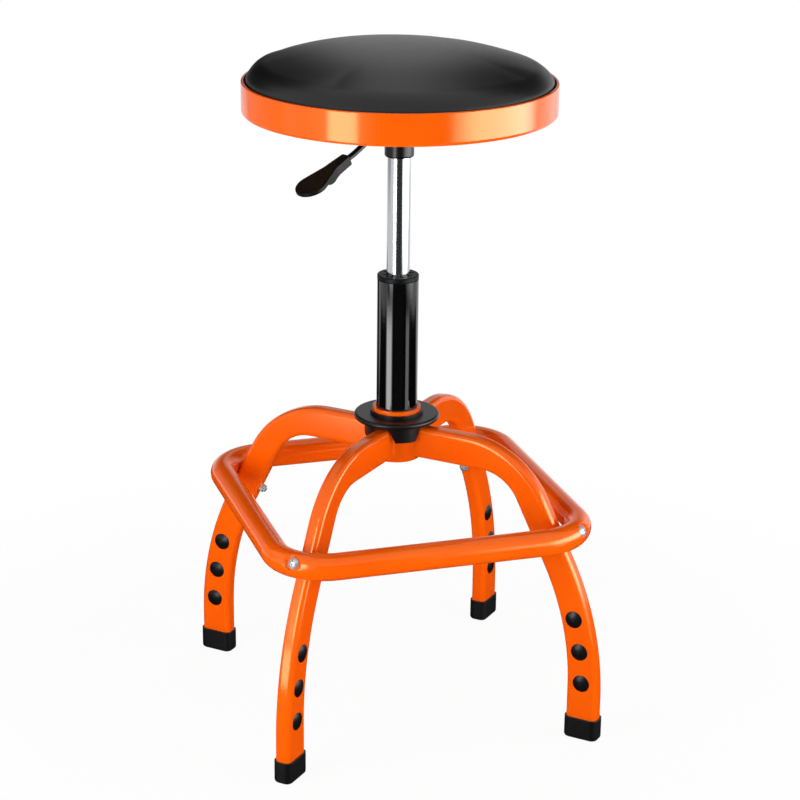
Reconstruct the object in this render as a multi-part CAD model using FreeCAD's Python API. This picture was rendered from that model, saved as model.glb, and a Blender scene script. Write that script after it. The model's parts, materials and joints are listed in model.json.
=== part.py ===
import FreeCAD, Part
import math
import os

from FreeCAD import Vector

# Workshop stool: a round swivel seat on a gas lift, over four bent legs and a footrest ring.
# Millimetres. The origin is on the floor under the column's axis and +Z points up.
# The footrest's sides run along X and Y, so the legs lie on the diagonals.
# The gas lift stands at the top of its stroke.

# Legs: rectangular tube with a level arm, a tight bend, a straight shin and a long sweep to a plumb foot
LEG_ANGLES = {"rear_right": 45.0, "rear_left": 135.0, "front_left": 225.0, "front_right": 315.0}
LEG_WIDTH = 20.0
LEG_DEPTH = 40.0
LEG_WALL = 1.5
LEG_CORNER = 6.5
LEG_ARM_TOP_Z = 364.5
LEG_FOOT_R = 261.0
LEG_SLOPE = 63.0
OUTER_BEND_RADIUS = 120.0
OUTER_SWEEP_RADIUS = 390.0
OUTER_PLUMB_Z = 53.2
INNER_BEND_RADIUS = 54.0
INNER_SWEEP_RADIUS = 330.0
INNER_PLUMB_Z = 68.8
WELD_GAP = 0.1

# Rubber foot caps
CAP_SOLE = 5.0
CAP_WALL = 2.0
CAP_HEIGHT = 28.0
CAP_EDGE = 4.0
CAP_FIT = 0.1

# Push-in plugs in the sides of the legs
PLUG_COUNT = 3
PLUG_LOWEST_Z = 75.0
PLUG_PITCH = 41.0
PLUG_HEAD_R = 10.8
PLUG_HEAD_H = 2.8
PLUG_STEM_R = 6.5
PLUG_STEM_LENGTH = 8.0
PLUG_FIT = 0.2

# Footrest: a rounded square of round tube, bolted to the outside of the shins
REST_TUBE_R = 16.0
REST_WALL = 1.5
REST_HALF_SIDE = 187.0
REST_CORNER_RADIUS = 60.0
REST_GAP = 0.2
DIMPLE_FLOOR_GAP = 1.5
DIMPLE_DEPTH = 4.5
DIMPLE_FLANK = 50.0

# Footrest bolts and nuts
BOLT_R = 3.0
BOLT_HEAD_R = 6.7
BOLT_HEAD_H = 4.5
BOLT_RIM_H = 1.2
BOLT_CLEARANCE = 0.3
BOLT_END = 2.5
RECESS_LENGTH = 7.0
RECESS_WIDTH = 1.6
RECESS_DEPTH = 2.0
NUT_FLATS = 10.0
NUT_CHAMFER = 30.0
NUT_H = 5.0
NUT_FIT = 0.05

# Hub tube and its collar
HUB_R = 29.2
HUB_BELOW_ARM = 3.8
HUB_ABOVE_ARM = 20.5
COLLAR_DISC_R = 52.0
COLLAR_DISC_T = 6.6
COLLAR_EDGE = 3.0
COLLAR_RAISE = 5.4
COLLAR_LIP_R = 32.2
COLLAR_LIP_H = 3.8
COLLAR_SKIRT_R = 39.0
COLLAR_SKIRT_WALL = 2.5
COLLAR_SKIRT_DROP = 15.5
COLLAR_FIT = 0.15
COLLAR_LEG_GAP = 0.3
COLLAR_FLARE = 7.0

# Column tube, tapered where it is pressed into the hub, with a bottom disc that carries the bearing
COLUMN_R = 25.0
COLUMN_WALL = 2.0
COLUMN_TOP_Z = 545.0
COLUMN_TUCK = 2.0
COLUMN_FIT = 0.05
TAPER_ANGLE = 1.435
DISC_RISE = 7.0
DISC_T = 4.0
DISC_CLEARANCE = 0.3

# Guide bush in the top of the column
BUSH_HEAD_H = 6.0
BUSH_LENGTH = 72.0
BUSH_FIT = 0.05
BUSH_EDGE = 0.8
NOTCH_COUNT = 8
NOTCH_WIDTH = 3.0
NOTCH_DEPTH = 2.0
NOTCH_REACH = 5.0

# Thrust bearing at the foot of the piston rod
RACE_R = 15.0
RACE_T = 2.5
RACE_FIT = 0.1
BALL_R = 2.4
BALL_COUNT = 10
BALL_CIRCLE_R = 10.0
GROOVE_DEPTH = 0.9
BALL_PLAY = 0.15
CAGE_T = 1.6
CAGE_HALF_WIDTH = 4.0

# Piston rod with its clip, bump stop and piston
ROD_R = 5.0
ROD_NECK_R = 4.0
ROD_TAIL = 2.0
CLIP_R = 8.0
CLIP_T = 1.2
CLIP_GROOVE = 0.8
CLIP_GAP = 0.4
CLIP_FIT = 0.05
BUFFER_R = 11.0
BUFFER_H = 7.0
BUFFER_FIT = 0.1
PISTON_T = 12.0
PISTON_FIT = 0.1
PISTON_BORE_FIT = 0.05
PISTON_GAP = 2.5
RIVET_R = 6.0
RIVET_H = 2.0

# Gas cylinder with its rod guide, valve body and release button
CYLINDER_R = 14.0
CYLINDER_WALL = 2.5
CYLINDER_EDGE = 1.0
STROKE = 130.0
STOP_GAP = 1.5
GUIDE_LENGTH = 20.0
VALVE_LENGTH = 22.0
INSERT_FIT = 0.05
RUNNING_FIT = 0.05
BUTTON_R = 4.0
BUTTON_STAND = 6.0
BUTTON_DOME = 1.6
BUTTON_LENGTH = 24.0

# Seat ring, board, cover and foam
RING_BOTTOM_Z = 747.5
RING_R = 185.0
RING_H = 37.7
RING_WALL = 1.2
RING_EDGE = 4.0
RING_LIP = 12.0
RING_BEAD = 1.8
COVER_T = 1.2
COVER_GAP = 0.2
COVER_WRAP = 28.0
BOARD_T = 12.0
BOARD_EDGE = 2.0
CUSHION_GAP = 2.0
CROWN_RISE = 43.8
DOME_RADIUS = 583.0
ROLL_RADIUS = 16.0
TUCK_ANGLE = 35.0
TUCK_FOOT = 2.0

# Mounting plate, its screws and tee nuts
PLATE_SIDE = 152.0
PLATE_T = 2.5
PLATE_CORNER = 12.0
SCREW_SPACING = 120.0
SCREW_R = 3.0
SCREW_HEAD_R = 5.5
SCREW_HEAD_H = 3.5
SCREW_CLEARANCE = 0.3
SCREW_SHORT = 1.0
TEE_FLANGE_R = 9.0
TEE_FLANGE_T = 1.5
TEE_BARREL_R = 4.2
TEE_BARREL_LENGTH = 9.0
TEE_FIT = 0.1

# Taper socket under the plate
SOCKET_R = 17.5
SOCKET_LENGTH = 53.0
SOCKET_EDGE = 2.8
SOCKET_FIT = 0.02
WINDOW_SIDE_GAP = 1.25
WINDOW_SILL = 1.0
LEVER_STOP_GAP = 0.3

# Release lever: a tongue over the button, a barrel on the pivot pin, a bent rod and a moulded handle
LEVER_AZIMUTH = 207.5
PIVOT_R = 28.0
PIVOT_DROP = 14.0
PIN_R = 2.5
PIN_HEAD_R = 4.0
PIN_HEAD_T = 1.5
PIN_FIT = 0.02
BARREL_R = 5.5
BARREL_LENGTH = 14.0
BARREL_SIDE_GAP = 0.3
TONGUE_T = 5.0
TONGUE_WIDTH = 10.0
TONGUE_OVERHANG = 5.0
BUTTON_GAP = 0.2
LEVER_ROD_R = 3.5
ROD_DROP_ANGLE = 28.3
ROD_DROP_RUN = 51.1
ROD_BEND_RADIUS = 30.0
HANDLE_ANGLE = 22.7
ROD_REACH = 11.6
ROD_INSERT = 18.0
EAR_T = 3.0
EAR_R = 8.0
EAR_BASE_T = 3.0

# Handle, in its own frame: length from the neck's end to the tip, width across, depth square to both
HANDLE_LENGTH = 80.0
ROOT_HALF_WIDTH = 6.2
ROOT_CORNER = 2.5
NECK_HALF_WIDTH = 8.5
NECK_LENGTH = 27.0
NECK_HALF_DEPTH = 6.0
NECK_FLARE_RADIUS = 40.0
BLADE_HALF_WIDTH = 19.0
BLADE_TOP = 2.5
BLADE_BOTTOM = -2.0
BELLY_START = 22.0
BELLY_END = 34.0
BELLY_DROP = 7.5
BELLY_RUNOUT = 15.0
BELLY_BULGE = 1.4
HANDLE_EDGE = 1.2
HANDLE_FIT = 0.05

# Heights and radii that follow from the sizes above
arm_bottom_z = LEG_ARM_TOP_Z - LEG_DEPTH
hub_bottom_z = arm_bottom_z - HUB_BELOW_ARM
hub_top_z = LEG_ARM_TOP_Z + HUB_ABOVE_ARM
taper = math.tan(math.radians(TAPER_ANGLE))
column_bottom_z = hub_bottom_z + COLUMN_TUCK
column_bottom_r = COLUMN_R - taper * (hub_top_z - column_bottom_z)
disc_bottom_z = column_bottom_z + DISC_RISE
disc_top_z = disc_bottom_z + DISC_T
lower_race_top_z = disc_top_z + RACE_T
ball_z = lower_race_top_z + BALL_R + BALL_PLAY - GROOVE_DEPTH
upper_race_z = 2 * ball_z - lower_race_top_z
shoulder_z = upper_race_z + RACE_T
buffer_top_z = shoulder_z + BUFFER_H
cylinder_bottom_z = buffer_top_z + STOP_GAP + STROKE
cylinder_bore_r = CYLINDER_R - CYLINDER_WALL
piston_z = cylinder_bottom_z + GUIDE_LENGTH + PISTON_GAP
ring_top_z = RING_BOTTOM_Z + RING_H
bead_r = RING_R - RING_WALL - RING_BEAD
cushion_r = bead_r - CUSHION_GAP
board_r = RING_R - RING_WALL - COVER_GAP - COVER_T
board_bottom_z = RING_BOTTOM_Z + RING_WALL + COVER_T
board_top_z = board_bottom_z + BOARD_T
crown_z = ring_top_z + CROWN_RISE
plate_bottom_z = board_bottom_z - PLATE_T
pivot_z = plate_bottom_z - PIVOT_DROP
button_top_z = pivot_z - TONGUE_T / 2 - BUTTON_GAP
cylinder_top_z = button_top_z - BUTTON_STAND
socket_bottom_z = plate_bottom_z - SOCKET_LENGTH
cylinder_top_r = CYLINDER_R - taper * (cylinder_top_z - socket_bottom_z)
ear_gap = BARREL_LENGTH / 2 + BARREL_SIDE_GAP

UP = Vector(0, 0, 1)
ORIGIN = Vector(0, 0, 0)


def at(r, z):
    """Point in the XZ plane."""
    return Vector(r, 0, z)


def polar(length, degrees):
    """Vector in the XZ plane, turned up from +X."""
    angle = math.radians(degrees)
    return Vector(length * math.cos(angle), 0, length * math.sin(angle))


def outline(points):
    """Closed wire in the XZ plane through (r, z) points.

    A third number makes the stretch that leads to its point an arc that rises that far to the left.
    """
    edges = []
    start = at(*points[-1][:2])
    for point in points:
        end = at(*point[:2])
        if len(point) == 3:
            along = (end - start).normalize()
            middle = (start + end) * 0.5 + Vector(-along.z, 0, along.x) * point[2]
            edges.append(Part.Arc(start, middle, end).toShape())
        else:
            edges.append(Part.makeLine(start, end))
        start = end
    return Part.Wire(edges)


def dome_rise(radius, height):
    """Rise of the arc from the rim to the top of a spherical dome."""
    sphere_r = (radius ** 2 + height ** 2) / (2 * height)
    return sphere_r * (1 - math.cos(math.asin(radius / sphere_r) / 2))


def revolved(points):
    """Solid of revolution about Z."""
    return Part.Face(outline(points)).revolve(ORIGIN, UP, 360)


def slab(points, width):
    """Outline in the XZ plane, thickened by width to both sides of it alike."""
    face = Part.Face(outline(points))
    face.translate(Vector(0, -width / 2, 0))
    return face.extrude(Vector(0, width, 0))


def block(x0, x1, width, z0, z1):
    """Box with its width shared by both sides of the XZ plane."""
    return Part.makeBox(x1 - x0, width, z1 - z0, Vector(x0, -width / 2, z0))


def cylinder(radius, z0, z1):
    """Upright cylinder on the Z axis."""
    return Part.makeCylinder(radius, z1 - z0, at(0, z0))


def tube(outer_r, inner_r, z0, z1):
    """Upright tube on the Z axis."""
    return cylinder(outer_r, z0, z1).cut(cylinder(inner_r, z0, z1))


def cross_rod(radius, x, z, half_length):
    """Cylinder along Y, centred on the XZ plane."""
    return Part.makeCylinder(radius, 2 * half_length, Vector(x, -half_length, z), Vector(0, 1, 0))


def turned(shape, degrees):
    """Copy of a shape, turned about the Z axis."""
    copy = shape.copy()
    copy.rotate(ORIGIN, UP, degrees)
    return copy


def aimed(shape, place, direction):
    """Copy of a shape built on the Z axis, with its origin at place and its Z axis along direction."""
    copy = shape.copy()
    copy.Placement = FreeCAD.Placement(place, FreeCAD.Rotation(UP, direction))
    return copy


def on_legs(shape):
    """Copies of a shape built on the +X side, one for each leg, by the leg's name."""
    return {name: turned(shape, angle) for name, angle in LEG_ANGLES.items()}


def group(shapes):
    """Several solids of one node."""
    return Part.makeCompound(list(shapes))


class LegEdge:
    """One edge of a leg's side view, from the hub's axis to the foot, pushed outward by an offset."""

    def __init__(self, arm_z, bend_radius, sweep_radius, plumb_z, foot_r, offset):
        self.arm_z = arm_z + offset
        self.bend_radius = bend_radius + offset
        self.sweep_radius = sweep_radius + offset
        self.foot_r = foot_r + offset
        self.lean = 90.0 - LEG_SLOPE
        self.sweep_centre = at(self.foot_r - self.sweep_radius, plumb_z)
        self.shin_end = self.sweep_centre + polar(self.sweep_radius, self.lean)
        bend_drop = self.bend_radius - polar(self.bend_radius, self.lean).z
        shin_rise = self.arm_z - bend_drop - self.shin_end.z
        shin_length = shin_rise / math.sin(math.radians(LEG_SLOPE))
        self.shin_top = self.shin_end - polar(shin_length, -LEG_SLOPE)
        self.bend_centre = self.shin_top - polar(self.bend_radius, self.lean)

    def edges(self, end_z):
        """Edges from the hub's axis to the foot."""
        arm_end = at(self.bend_centre.x, self.arm_z)
        bend_middle = self.bend_centre + polar(self.bend_radius, (90.0 + self.lean) / 2)
        sweep_middle = self.sweep_centre + polar(self.sweep_radius, self.lean / 2)
        sweep_end = self.sweep_centre + polar(self.sweep_radius, 0)
        return [
            Part.makeLine(at(0, self.arm_z), arm_end),
            Part.Arc(arm_end, bend_middle, self.shin_top).toShape(),
            Part.makeLine(self.shin_top, self.shin_end),
            Part.Arc(self.shin_end, sweep_middle, sweep_end).toShape(),
            Part.makeLine(sweep_end, at(self.foot_r, end_z)),
        ]

    def radius_at(self, z):
        """Distance from the axis at a height below the bend."""
        if z > self.shin_end.z:
            return self.shin_end.x - (z - self.shin_end.z) / math.tan(math.radians(LEG_SLOPE))
        rise = max(z - self.sweep_centre.z, 0.0)
        return self.sweep_centre.x + math.sqrt(self.sweep_radius ** 2 - rise ** 2)

    def contact_at(self, r):
        """Point of the edge at a distance from the axis, and the lean of its normal above level."""
        if r < self.shin_top.x:
            centre, radius = self.bend_centre, self.bend_radius
        elif r < self.shin_end.x:
            drop = (r - self.shin_top.x) * math.tan(math.radians(LEG_SLOPE))
            return at(r, self.shin_top.z - drop), self.lean
        else:
            centre, radius = self.sweep_centre, self.sweep_radius
        lean = math.acos((r - centre.x) / radius)
        return at(r, centre.z + radius * math.sin(lean)), math.degrees(lean)


def outer_edge(offset):
    """Upper and outer edge of a leg."""
    foot_r = LEG_FOOT_R + LEG_DEPTH / 2
    return LegEdge(LEG_ARM_TOP_Z, OUTER_BEND_RADIUS, OUTER_SWEEP_RADIUS, OUTER_PLUMB_Z, foot_r, offset)


def inner_edge(offset):
    """Lower and inner edge of a leg."""
    foot_r = LEG_FOOT_R - LEG_DEPTH / 2
    return LegEdge(arm_bottom_z, INNER_BEND_RADIUS, INNER_SWEEP_RADIUS, INNER_PLUMB_Z, foot_r, offset)


# Footrest corner on a leg: its centre, the lean of the bolt, and the bolt's grip to the leg's inner face
rest_corner_r = math.sqrt(2) * REST_HALF_SIDE - (math.sqrt(2) - 1) * REST_CORNER_RADIUS
rest_centre, bolt_lean = outer_edge(REST_TUBE_R + REST_GAP).contact_at(rest_corner_r)
bolt_axis = polar(1, bolt_lean)
bolt_seat = REST_TUBE_R - DIMPLE_DEPTH
bolt_path = Part.makeLine(rest_centre, rest_centre - bolt_axis * (REST_TUBE_R + REST_GAP + 2 * LEG_DEPTH))
bolt_exit = Part.Wire(inner_edge(0).edges(CAP_SOLE)).distToShape(bolt_path)[1][0][0]
bolt_grip = (rest_centre - bolt_exit).Length


def leg_blank(inset, end_z):
    """Solid bar of a leg's shape from the hub's axis to end_z, drawn in all round by an inset."""
    outer = outer_edge(-inset)
    inner = inner_edge(inset)
    half_width = LEG_WIDTH / 2 - inset
    ends = [
        Part.makeLine(at(0, outer.arm_z), at(0, inner.arm_z)),
        Part.makeLine(at(outer.foot_r, end_z), at(inner.foot_r, end_z)),
    ]
    loop = Part.__sortEdges__(outer.edges(end_z) + inner.edges(end_z) + ends)
    face = Part.Face(Part.Wire(loop))
    face.translate(Vector(0, -half_width, 0))
    bar = face.extrude(Vector(0, 2 * half_width, 0))
    end_middles = [end.CenterOfMass for end in ends]
    long_edges = []
    for edge in bar.Edges:
        middle = edge.CenterOfMass
        is_end = any((at(middle.x, middle.z) - end).Length < LEG_WALL for end in end_middles)
        if edge.BoundBox.YLength < LEG_WALL and not is_end:
            long_edges.append(edge)
    return bar.makeFillet(LEG_CORNER - inset, long_edges)


def plug_places():
    """Plug centres on a leg's side, from the lowest up."""
    outer = outer_edge(0)
    inner = inner_edge(0)
    heights = [PLUG_LOWEST_Z + PLUG_PITCH * i for i in range(PLUG_COUNT)]
    return [at((outer.radius_at(z) + inner.radius_at(z)) / 2, z) for z in heights]


def bolt_hole(length):
    """Clearance hole for a footrest bolt, from the dimple inward."""
    hole = cylinder(BOLT_R + BOLT_CLEARANCE, REST_TUBE_R - length, REST_TUBE_R)
    return aimed(hole, rest_centre, bolt_axis)


def leg():
    """Hollow leg on the +X side, coped to the hub, with its plug and bolt holes."""
    shape = leg_blank(0, CAP_SOLE)
    shape = shape.cut(leg_blank(LEG_WALL, 0))
    shape = shape.cut(cylinder(HUB_R + WELD_GAP, 0, hub_top_z))
    for place in plug_places():
        shape = shape.cut(cross_rod(PLUG_STEM_R + PLUG_FIT, place.x, place.z, LEG_WIDTH))
    return shape.cut(bolt_hole(bolt_grip + REST_TUBE_R + LEG_WALL))


def leg_plugs():
    """Domed push-in plugs on both sides of the leg on the +X side."""
    plug = revolved([
        (0, -PLUG_STEM_LENGTH),
        (PLUG_STEM_R, -PLUG_STEM_LENGTH),
        (PLUG_STEM_R, 0),
        (PLUG_HEAD_R, 0),
        (0, PLUG_HEAD_H, -dome_rise(PLUG_HEAD_R, PLUG_HEAD_H)),
    ])
    plugs = []
    for place in plug_places():
        for side in (-1, 1):
            outward = Vector(0, side, 0)
            plugs.append(aimed(plug, place + outward * (LEG_WIDTH / 2), outward))
    return group(plugs)


def rounded_bar(grow, corner, z0, z1):
    """Upright bar of the leg's foot section, grown all round, with rounded upright corners."""
    half_depth = LEG_DEPTH / 2 + grow
    bar = block(LEG_FOOT_R - half_depth, LEG_FOOT_R + half_depth, LEG_WIDTH + 2 * grow, z0, z1)
    upright = [edge for edge in bar.Edges if edge.BoundBox.ZLength > (z1 - z0) / 2]
    return bar.makeFillet(corner, upright)


def foot_cap():
    """Rubber cap over the end of the leg on the +X side."""
    cap = rounded_bar(CAP_FIT + CAP_WALL, LEG_CORNER + CAP_FIT + CAP_WALL, 0, CAP_HEIGHT)
    sole = [edge for edge in cap.Edges if edge.BoundBox.ZMax < CAP_SOLE / 2]
    cap = cap.makeFillet(CAP_EDGE, sole)
    return cap.cut(rounded_bar(CAP_FIT, LEG_CORNER + CAP_FIT, CAP_SOLE, CAP_HEIGHT + CAP_SOLE))


def rest_quarter(section):
    """A side of the footrest on +X and the corner after it, from a section face centred at the origin."""
    straight_half = REST_HALF_SIDE - REST_CORNER_RADIUS
    start = Vector(REST_HALF_SIDE, -straight_half, rest_centre.z)
    face = section.copy()
    face.translate(start)
    side = face.extrude(Vector(0, 2 * straight_half, 0))
    face.translate(Vector(0, 2 * straight_half, 0))
    corner = face.revolve(Vector(straight_half, straight_half, 0), UP, 90)
    return side.fuse(corner)


def ring_section(radius):
    """Round face in the XZ plane at the origin."""
    return Part.Face(Part.Wire(Part.makeCircle(radius, ORIGIN, Vector(0, 1, 0))))


def dimple(grow):
    """Dish-shaped space of a pressed bolt seat on the leg on the +X side, grown all round."""
    floor_z = bolt_seat - grow
    floor_r = BOLT_HEAD_R + DIMPLE_FLOOR_GAP + grow
    rim_z = REST_TUBE_R + DIMPLE_DEPTH
    rim_r = floor_r + (rim_z - floor_z) / math.tan(math.radians(DIMPLE_FLANK))
    dish = revolved([(0, floor_z), (floor_r, floor_z), (rim_r, rim_z), (0, rim_z)])
    return aimed(dish, rest_centre, bolt_axis)


def footrest_ring():
    """Closed ring of round tube with a pressed seat for a bolt at each corner."""
    wall = ring_section(REST_TUBE_R).cut(ring_section(REST_TUBE_R - REST_WALL))
    quarter = rest_quarter(wall)
    quarters = [turned(quarter, 90 * i) for i in range(4)]
    ring = quarters[0].multiFuse(quarters[1:]).removeSplitter()
    full_corner = turned(rest_quarter(ring_section(REST_TUBE_R)), -45)
    pressed = dimple(REST_WALL).common(full_corner)
    seat = dimple(0)
    hole = bolt_hole(3 * REST_TUBE_R)
    for angle in LEG_ANGLES.values():
        ring = ring.fuse(turned(pressed, angle)).cut(turned(seat, angle)).cut(turned(hole, angle))
    return ring


def footrest_bolt():
    """Pan-head bolt with a cross recess, through the footrest corner and the leg on the +X side."""
    shank_end = -(bolt_grip + NUT_H + BOLT_END)
    bolt = revolved([
        (0, shank_end),
        (BOLT_R, shank_end),
        (BOLT_R, bolt_seat),
        (BOLT_HEAD_R, bolt_seat),
        (BOLT_HEAD_R, bolt_seat + BOLT_RIM_H),
        (0, bolt_seat + BOLT_HEAD_H, -dome_rise(BOLT_HEAD_R, BOLT_HEAD_H - BOLT_RIM_H)),
    ])
    top = bolt_seat + BOLT_HEAD_H
    arm = block(-RECESS_LENGTH / 2, RECESS_LENGTH / 2, RECESS_WIDTH, top - RECESS_DEPTH, top)
    bolt = bolt.cut(arm).cut(turned(arm, 90))
    return aimed(bolt, rest_centre, bolt_axis)


def footrest_nut():
    """Chamfered hexagon nut on the inner face of the leg on the +X side."""
    flat_r = NUT_FLATS / 2
    corner_r = flat_r / math.cos(math.radians(30))
    bevel = (corner_r - flat_r) * math.tan(math.radians(NUT_CHAMFER))
    top = -bolt_grip
    bottom = top - NUT_H
    ring = [Vector(corner_r, 0, bottom)]
    for i in range(6):
        ring.append(turned(Part.Vertex(ring[0]), 60 * (i + 1)).Point)
    nut = Part.Face(Part.makePolygon(ring)).extrude(Vector(0, 0, NUT_H))
    nut = nut.common(revolved([
        (BOLT_R + NUT_FIT, bottom),
        (flat_r, bottom),
        (corner_r, bottom + bevel),
        (corner_r, top - bevel),
        (flat_r, top),
        (BOLT_R + NUT_FIT, top),
    ]))
    return aimed(nut, rest_centre, bolt_axis)


def hub_tube():
    """Thick tube that the legs are welded to, with a taper bore for the column."""
    bore_bottom_r = COLUMN_R - taper * (hub_top_z - hub_bottom_z) + COLUMN_FIT
    return revolved([
        (bore_bottom_r, hub_bottom_z),
        (HUB_R, hub_bottom_z),
        (HUB_R, hub_top_z),
        (COLUMN_R + COLUMN_FIT, hub_top_z),
    ])


def hub_collar():
    """Moulded collar round the hub: a disc with a lip, and a skirt of tapered tabs between the legs."""
    bore_r = HUB_R + COLLAR_FIT
    seat_z = LEG_ARM_TOP_Z + COLLAR_LEG_GAP
    disc_z = LEG_ARM_TOP_Z + COLLAR_RAISE
    disc_top = disc_z + COLLAR_DISC_T
    skirt_z = LEG_ARM_TOP_Z - COLLAR_SKIRT_DROP
    skirt_inner_r = COLLAR_SKIRT_R - COLLAR_SKIRT_WALL
    collar = revolved([
        (bore_r, seat_z),
        (COLLAR_LIP_R, seat_z),
        (COLLAR_LIP_R, disc_z),
        (skirt_inner_r, disc_z),
        (skirt_inner_r, skirt_z),
        (COLLAR_SKIRT_R, skirt_z),
        (COLLAR_SKIRT_R, disc_z),
        (COLLAR_DISC_R, disc_z),
        (COLLAR_DISC_R, disc_top),
        (COLLAR_LIP_R, disc_top),
        (COLLAR_LIP_R, disc_top + COLLAR_LIP_H),
        (bore_r, disc_top + COLLAR_LIP_H),
    ])
    rim = []
    for edge in collar.Edges:
        if edge.BoundBox.XMax > COLLAR_DISC_R - COLLAR_EDGE and edge.BoundBox.ZLength < COLLAR_EDGE / 2:
            rim.append(edge)
    collar = collar.makeFillet(COLLAR_EDGE, rim)
    half_top = LEG_WIDTH / 2
    half_foot = half_top + COLLAR_FLARE
    flare = slab([
        (-half_foot, skirt_z),
        (half_foot, skirt_z),
        (half_top, seat_z),
        (-half_top, seat_z),
    ], 2 * COLLAR_DISC_R)
    slot = leg_blank(-COLLAR_LEG_GAP, CAP_SOLE).fuse(turned(flare, 90))
    for shape in on_legs(slot).values():
        collar = collar.cut(shape)
    return collar


def column_tube():
    """Column tube with its bottom disc."""
    lower_inner_r = column_bottom_r - COLUMN_WALL
    hole_r = ROD_NECK_R + DISC_CLEARANCE
    return revolved([
        (column_bottom_r, column_bottom_z),
        (COLUMN_R, hub_top_z),
        (COLUMN_R, COLUMN_TOP_Z),
        (COLUMN_R - COLUMN_WALL, COLUMN_TOP_Z),
        (COLUMN_R - COLUMN_WALL, hub_top_z),
        (lower_inner_r, disc_top_z),
        (hole_r, disc_top_z),
        (hole_r, disc_bottom_z),
        (lower_inner_r, disc_bottom_z),
        (lower_inner_r, column_bottom_z),
    ])


def guide_bush():
    """Moulded bush that guides the gas cylinder, with a notched head on the column's end."""
    sleeve_r = COLUMN_R - COLUMN_WALL - BUSH_FIT
    bore_r = CYLINDER_R + RUNNING_FIT
    head_top = COLUMN_TOP_Z + BUSH_HEAD_H
    bush = revolved([
        (bore_r, COLUMN_TOP_Z - BUSH_LENGTH),
        (sleeve_r, COLUMN_TOP_Z - BUSH_LENGTH),
        (sleeve_r, COLUMN_TOP_Z),
        (COLUMN_R - BUSH_EDGE, COLUMN_TOP_Z),
        (COLUMN_R, COLUMN_TOP_Z + BUSH_EDGE),
        (COLUMN_R, head_top - BUSH_EDGE),
        (COLUMN_R - BUSH_EDGE, head_top),
        (bore_r, head_top),
    ])
    notch = block(0, bore_r + NOTCH_REACH, NOTCH_WIDTH, head_top - NOTCH_DEPTH, head_top)
    for i in range(NOTCH_COUNT):
        bush = bush.cut(turned(notch, 360 / NOTCH_COUNT * i))
    return bush


def ball_track():
    """Ring-shaped space that the balls run in."""
    return Part.makeTorus(BALL_CIRCLE_R, BALL_R + BALL_PLAY, at(0, ball_z))


def bearing_race(z):
    """Grooved washer of the thrust bearing."""
    return tube(RACE_R, ROD_NECK_R + RACE_FIT, z, z + RACE_T).cut(ball_track())


def on_ball_circle(shape):
    """Copies of a shape built at the first ball, one for each ball."""
    return [turned(shape, 360 / BALL_COUNT * i) for i in range(BALL_COUNT)]


def bearing_balls():
    """Balls of the thrust bearing."""
    return group(on_ball_circle(Part.makeSphere(BALL_R, at(BALL_CIRCLE_R, ball_z))))


def bearing_cage():
    """Flat ring that keeps the balls apart."""
    outer_r = BALL_CIRCLE_R + CAGE_HALF_WIDTH
    inner_r = BALL_CIRCLE_R - CAGE_HALF_WIDTH
    cage = tube(outer_r, inner_r, ball_z - CAGE_T / 2, ball_z + CAGE_T / 2)
    pocket = Part.makeCylinder(BALL_R + BALL_PLAY, CAGE_T, at(BALL_CIRCLE_R, ball_z - CAGE_T / 2))
    return cage.cut(group(on_ball_circle(pocket)))


clip_top_z = disc_bottom_z - CLIP_GAP
clip_bottom_z = clip_top_z - CLIP_T
clip_seat_r = ROD_NECK_R - CLIP_GROOVE


def piston_rod():
    """Piston rod: clip groove, neck through the bearing, shoulder, plain length and riveted top."""
    groove_top = clip_top_z + CLIP_FIT
    groove_bottom = clip_bottom_z - CLIP_FIT
    piston_top = piston_z + PISTON_T
    return revolved([
        (0, groove_bottom - ROD_TAIL),
        (ROD_NECK_R, groove_bottom - ROD_TAIL),
        (ROD_NECK_R, groove_bottom),
        (clip_seat_r, groove_bottom),
        (clip_seat_r, groove_top),
        (ROD_NECK_R, groove_top),
        (ROD_NECK_R, shoulder_z),
        (ROD_R, shoulder_z),
        (ROD_R, piston_z),
        (ROD_NECK_R, piston_z),
        (ROD_NECK_R, piston_top),
        (RIVET_R, piston_top),
        (0, piston_top + RIVET_H, -dome_rise(RIVET_R, RIVET_H)),
    ])


def rod_clip():
    """Spring clip in the rod's groove, open on one side."""
    clip = tube(CLIP_R, clip_seat_r + CLIP_FIT, clip_bottom_z, clip_top_z)
    return clip.cut(block(0, CLIP_R, 2 * clip_seat_r, clip_bottom_z, clip_top_z))


def rubber_buffer():
    """Bump stop round the rod."""
    return tube(BUFFER_R, ROD_R + BUFFER_FIT, shoulder_z, buffer_top_z)


def piston():
    """Piston on the rod's top end."""
    return tube(cylinder_bore_r - PISTON_FIT, ROD_NECK_R + PISTON_BORE_FIT, piston_z, piston_z + PISTON_T)


def gas_cylinder():
    """Pressure tube with a taper at its top end."""
    return revolved([
        (cylinder_bore_r, cylinder_bottom_z),
        (CYLINDER_R - CYLINDER_EDGE, cylinder_bottom_z),
        (CYLINDER_R, cylinder_bottom_z + CYLINDER_EDGE),
        (CYLINDER_R, socket_bottom_z),
        (cylinder_top_r, cylinder_top_z),
        (cylinder_bore_r, cylinder_top_z),
    ])


def cylinder_guide():
    """Rod guide in the cylinder's lower end."""
    top = cylinder_bottom_z + GUIDE_LENGTH
    return tube(cylinder_bore_r - INSERT_FIT, ROD_R + RUNNING_FIT, cylinder_bottom_z, top)


def valve_body():
    """Valve body in the cylinder's upper end."""
    bottom = cylinder_top_z - VALVE_LENGTH
    return tube(cylinder_bore_r - INSERT_FIT, BUTTON_R + RUNNING_FIT, bottom, cylinder_top_z)


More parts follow.
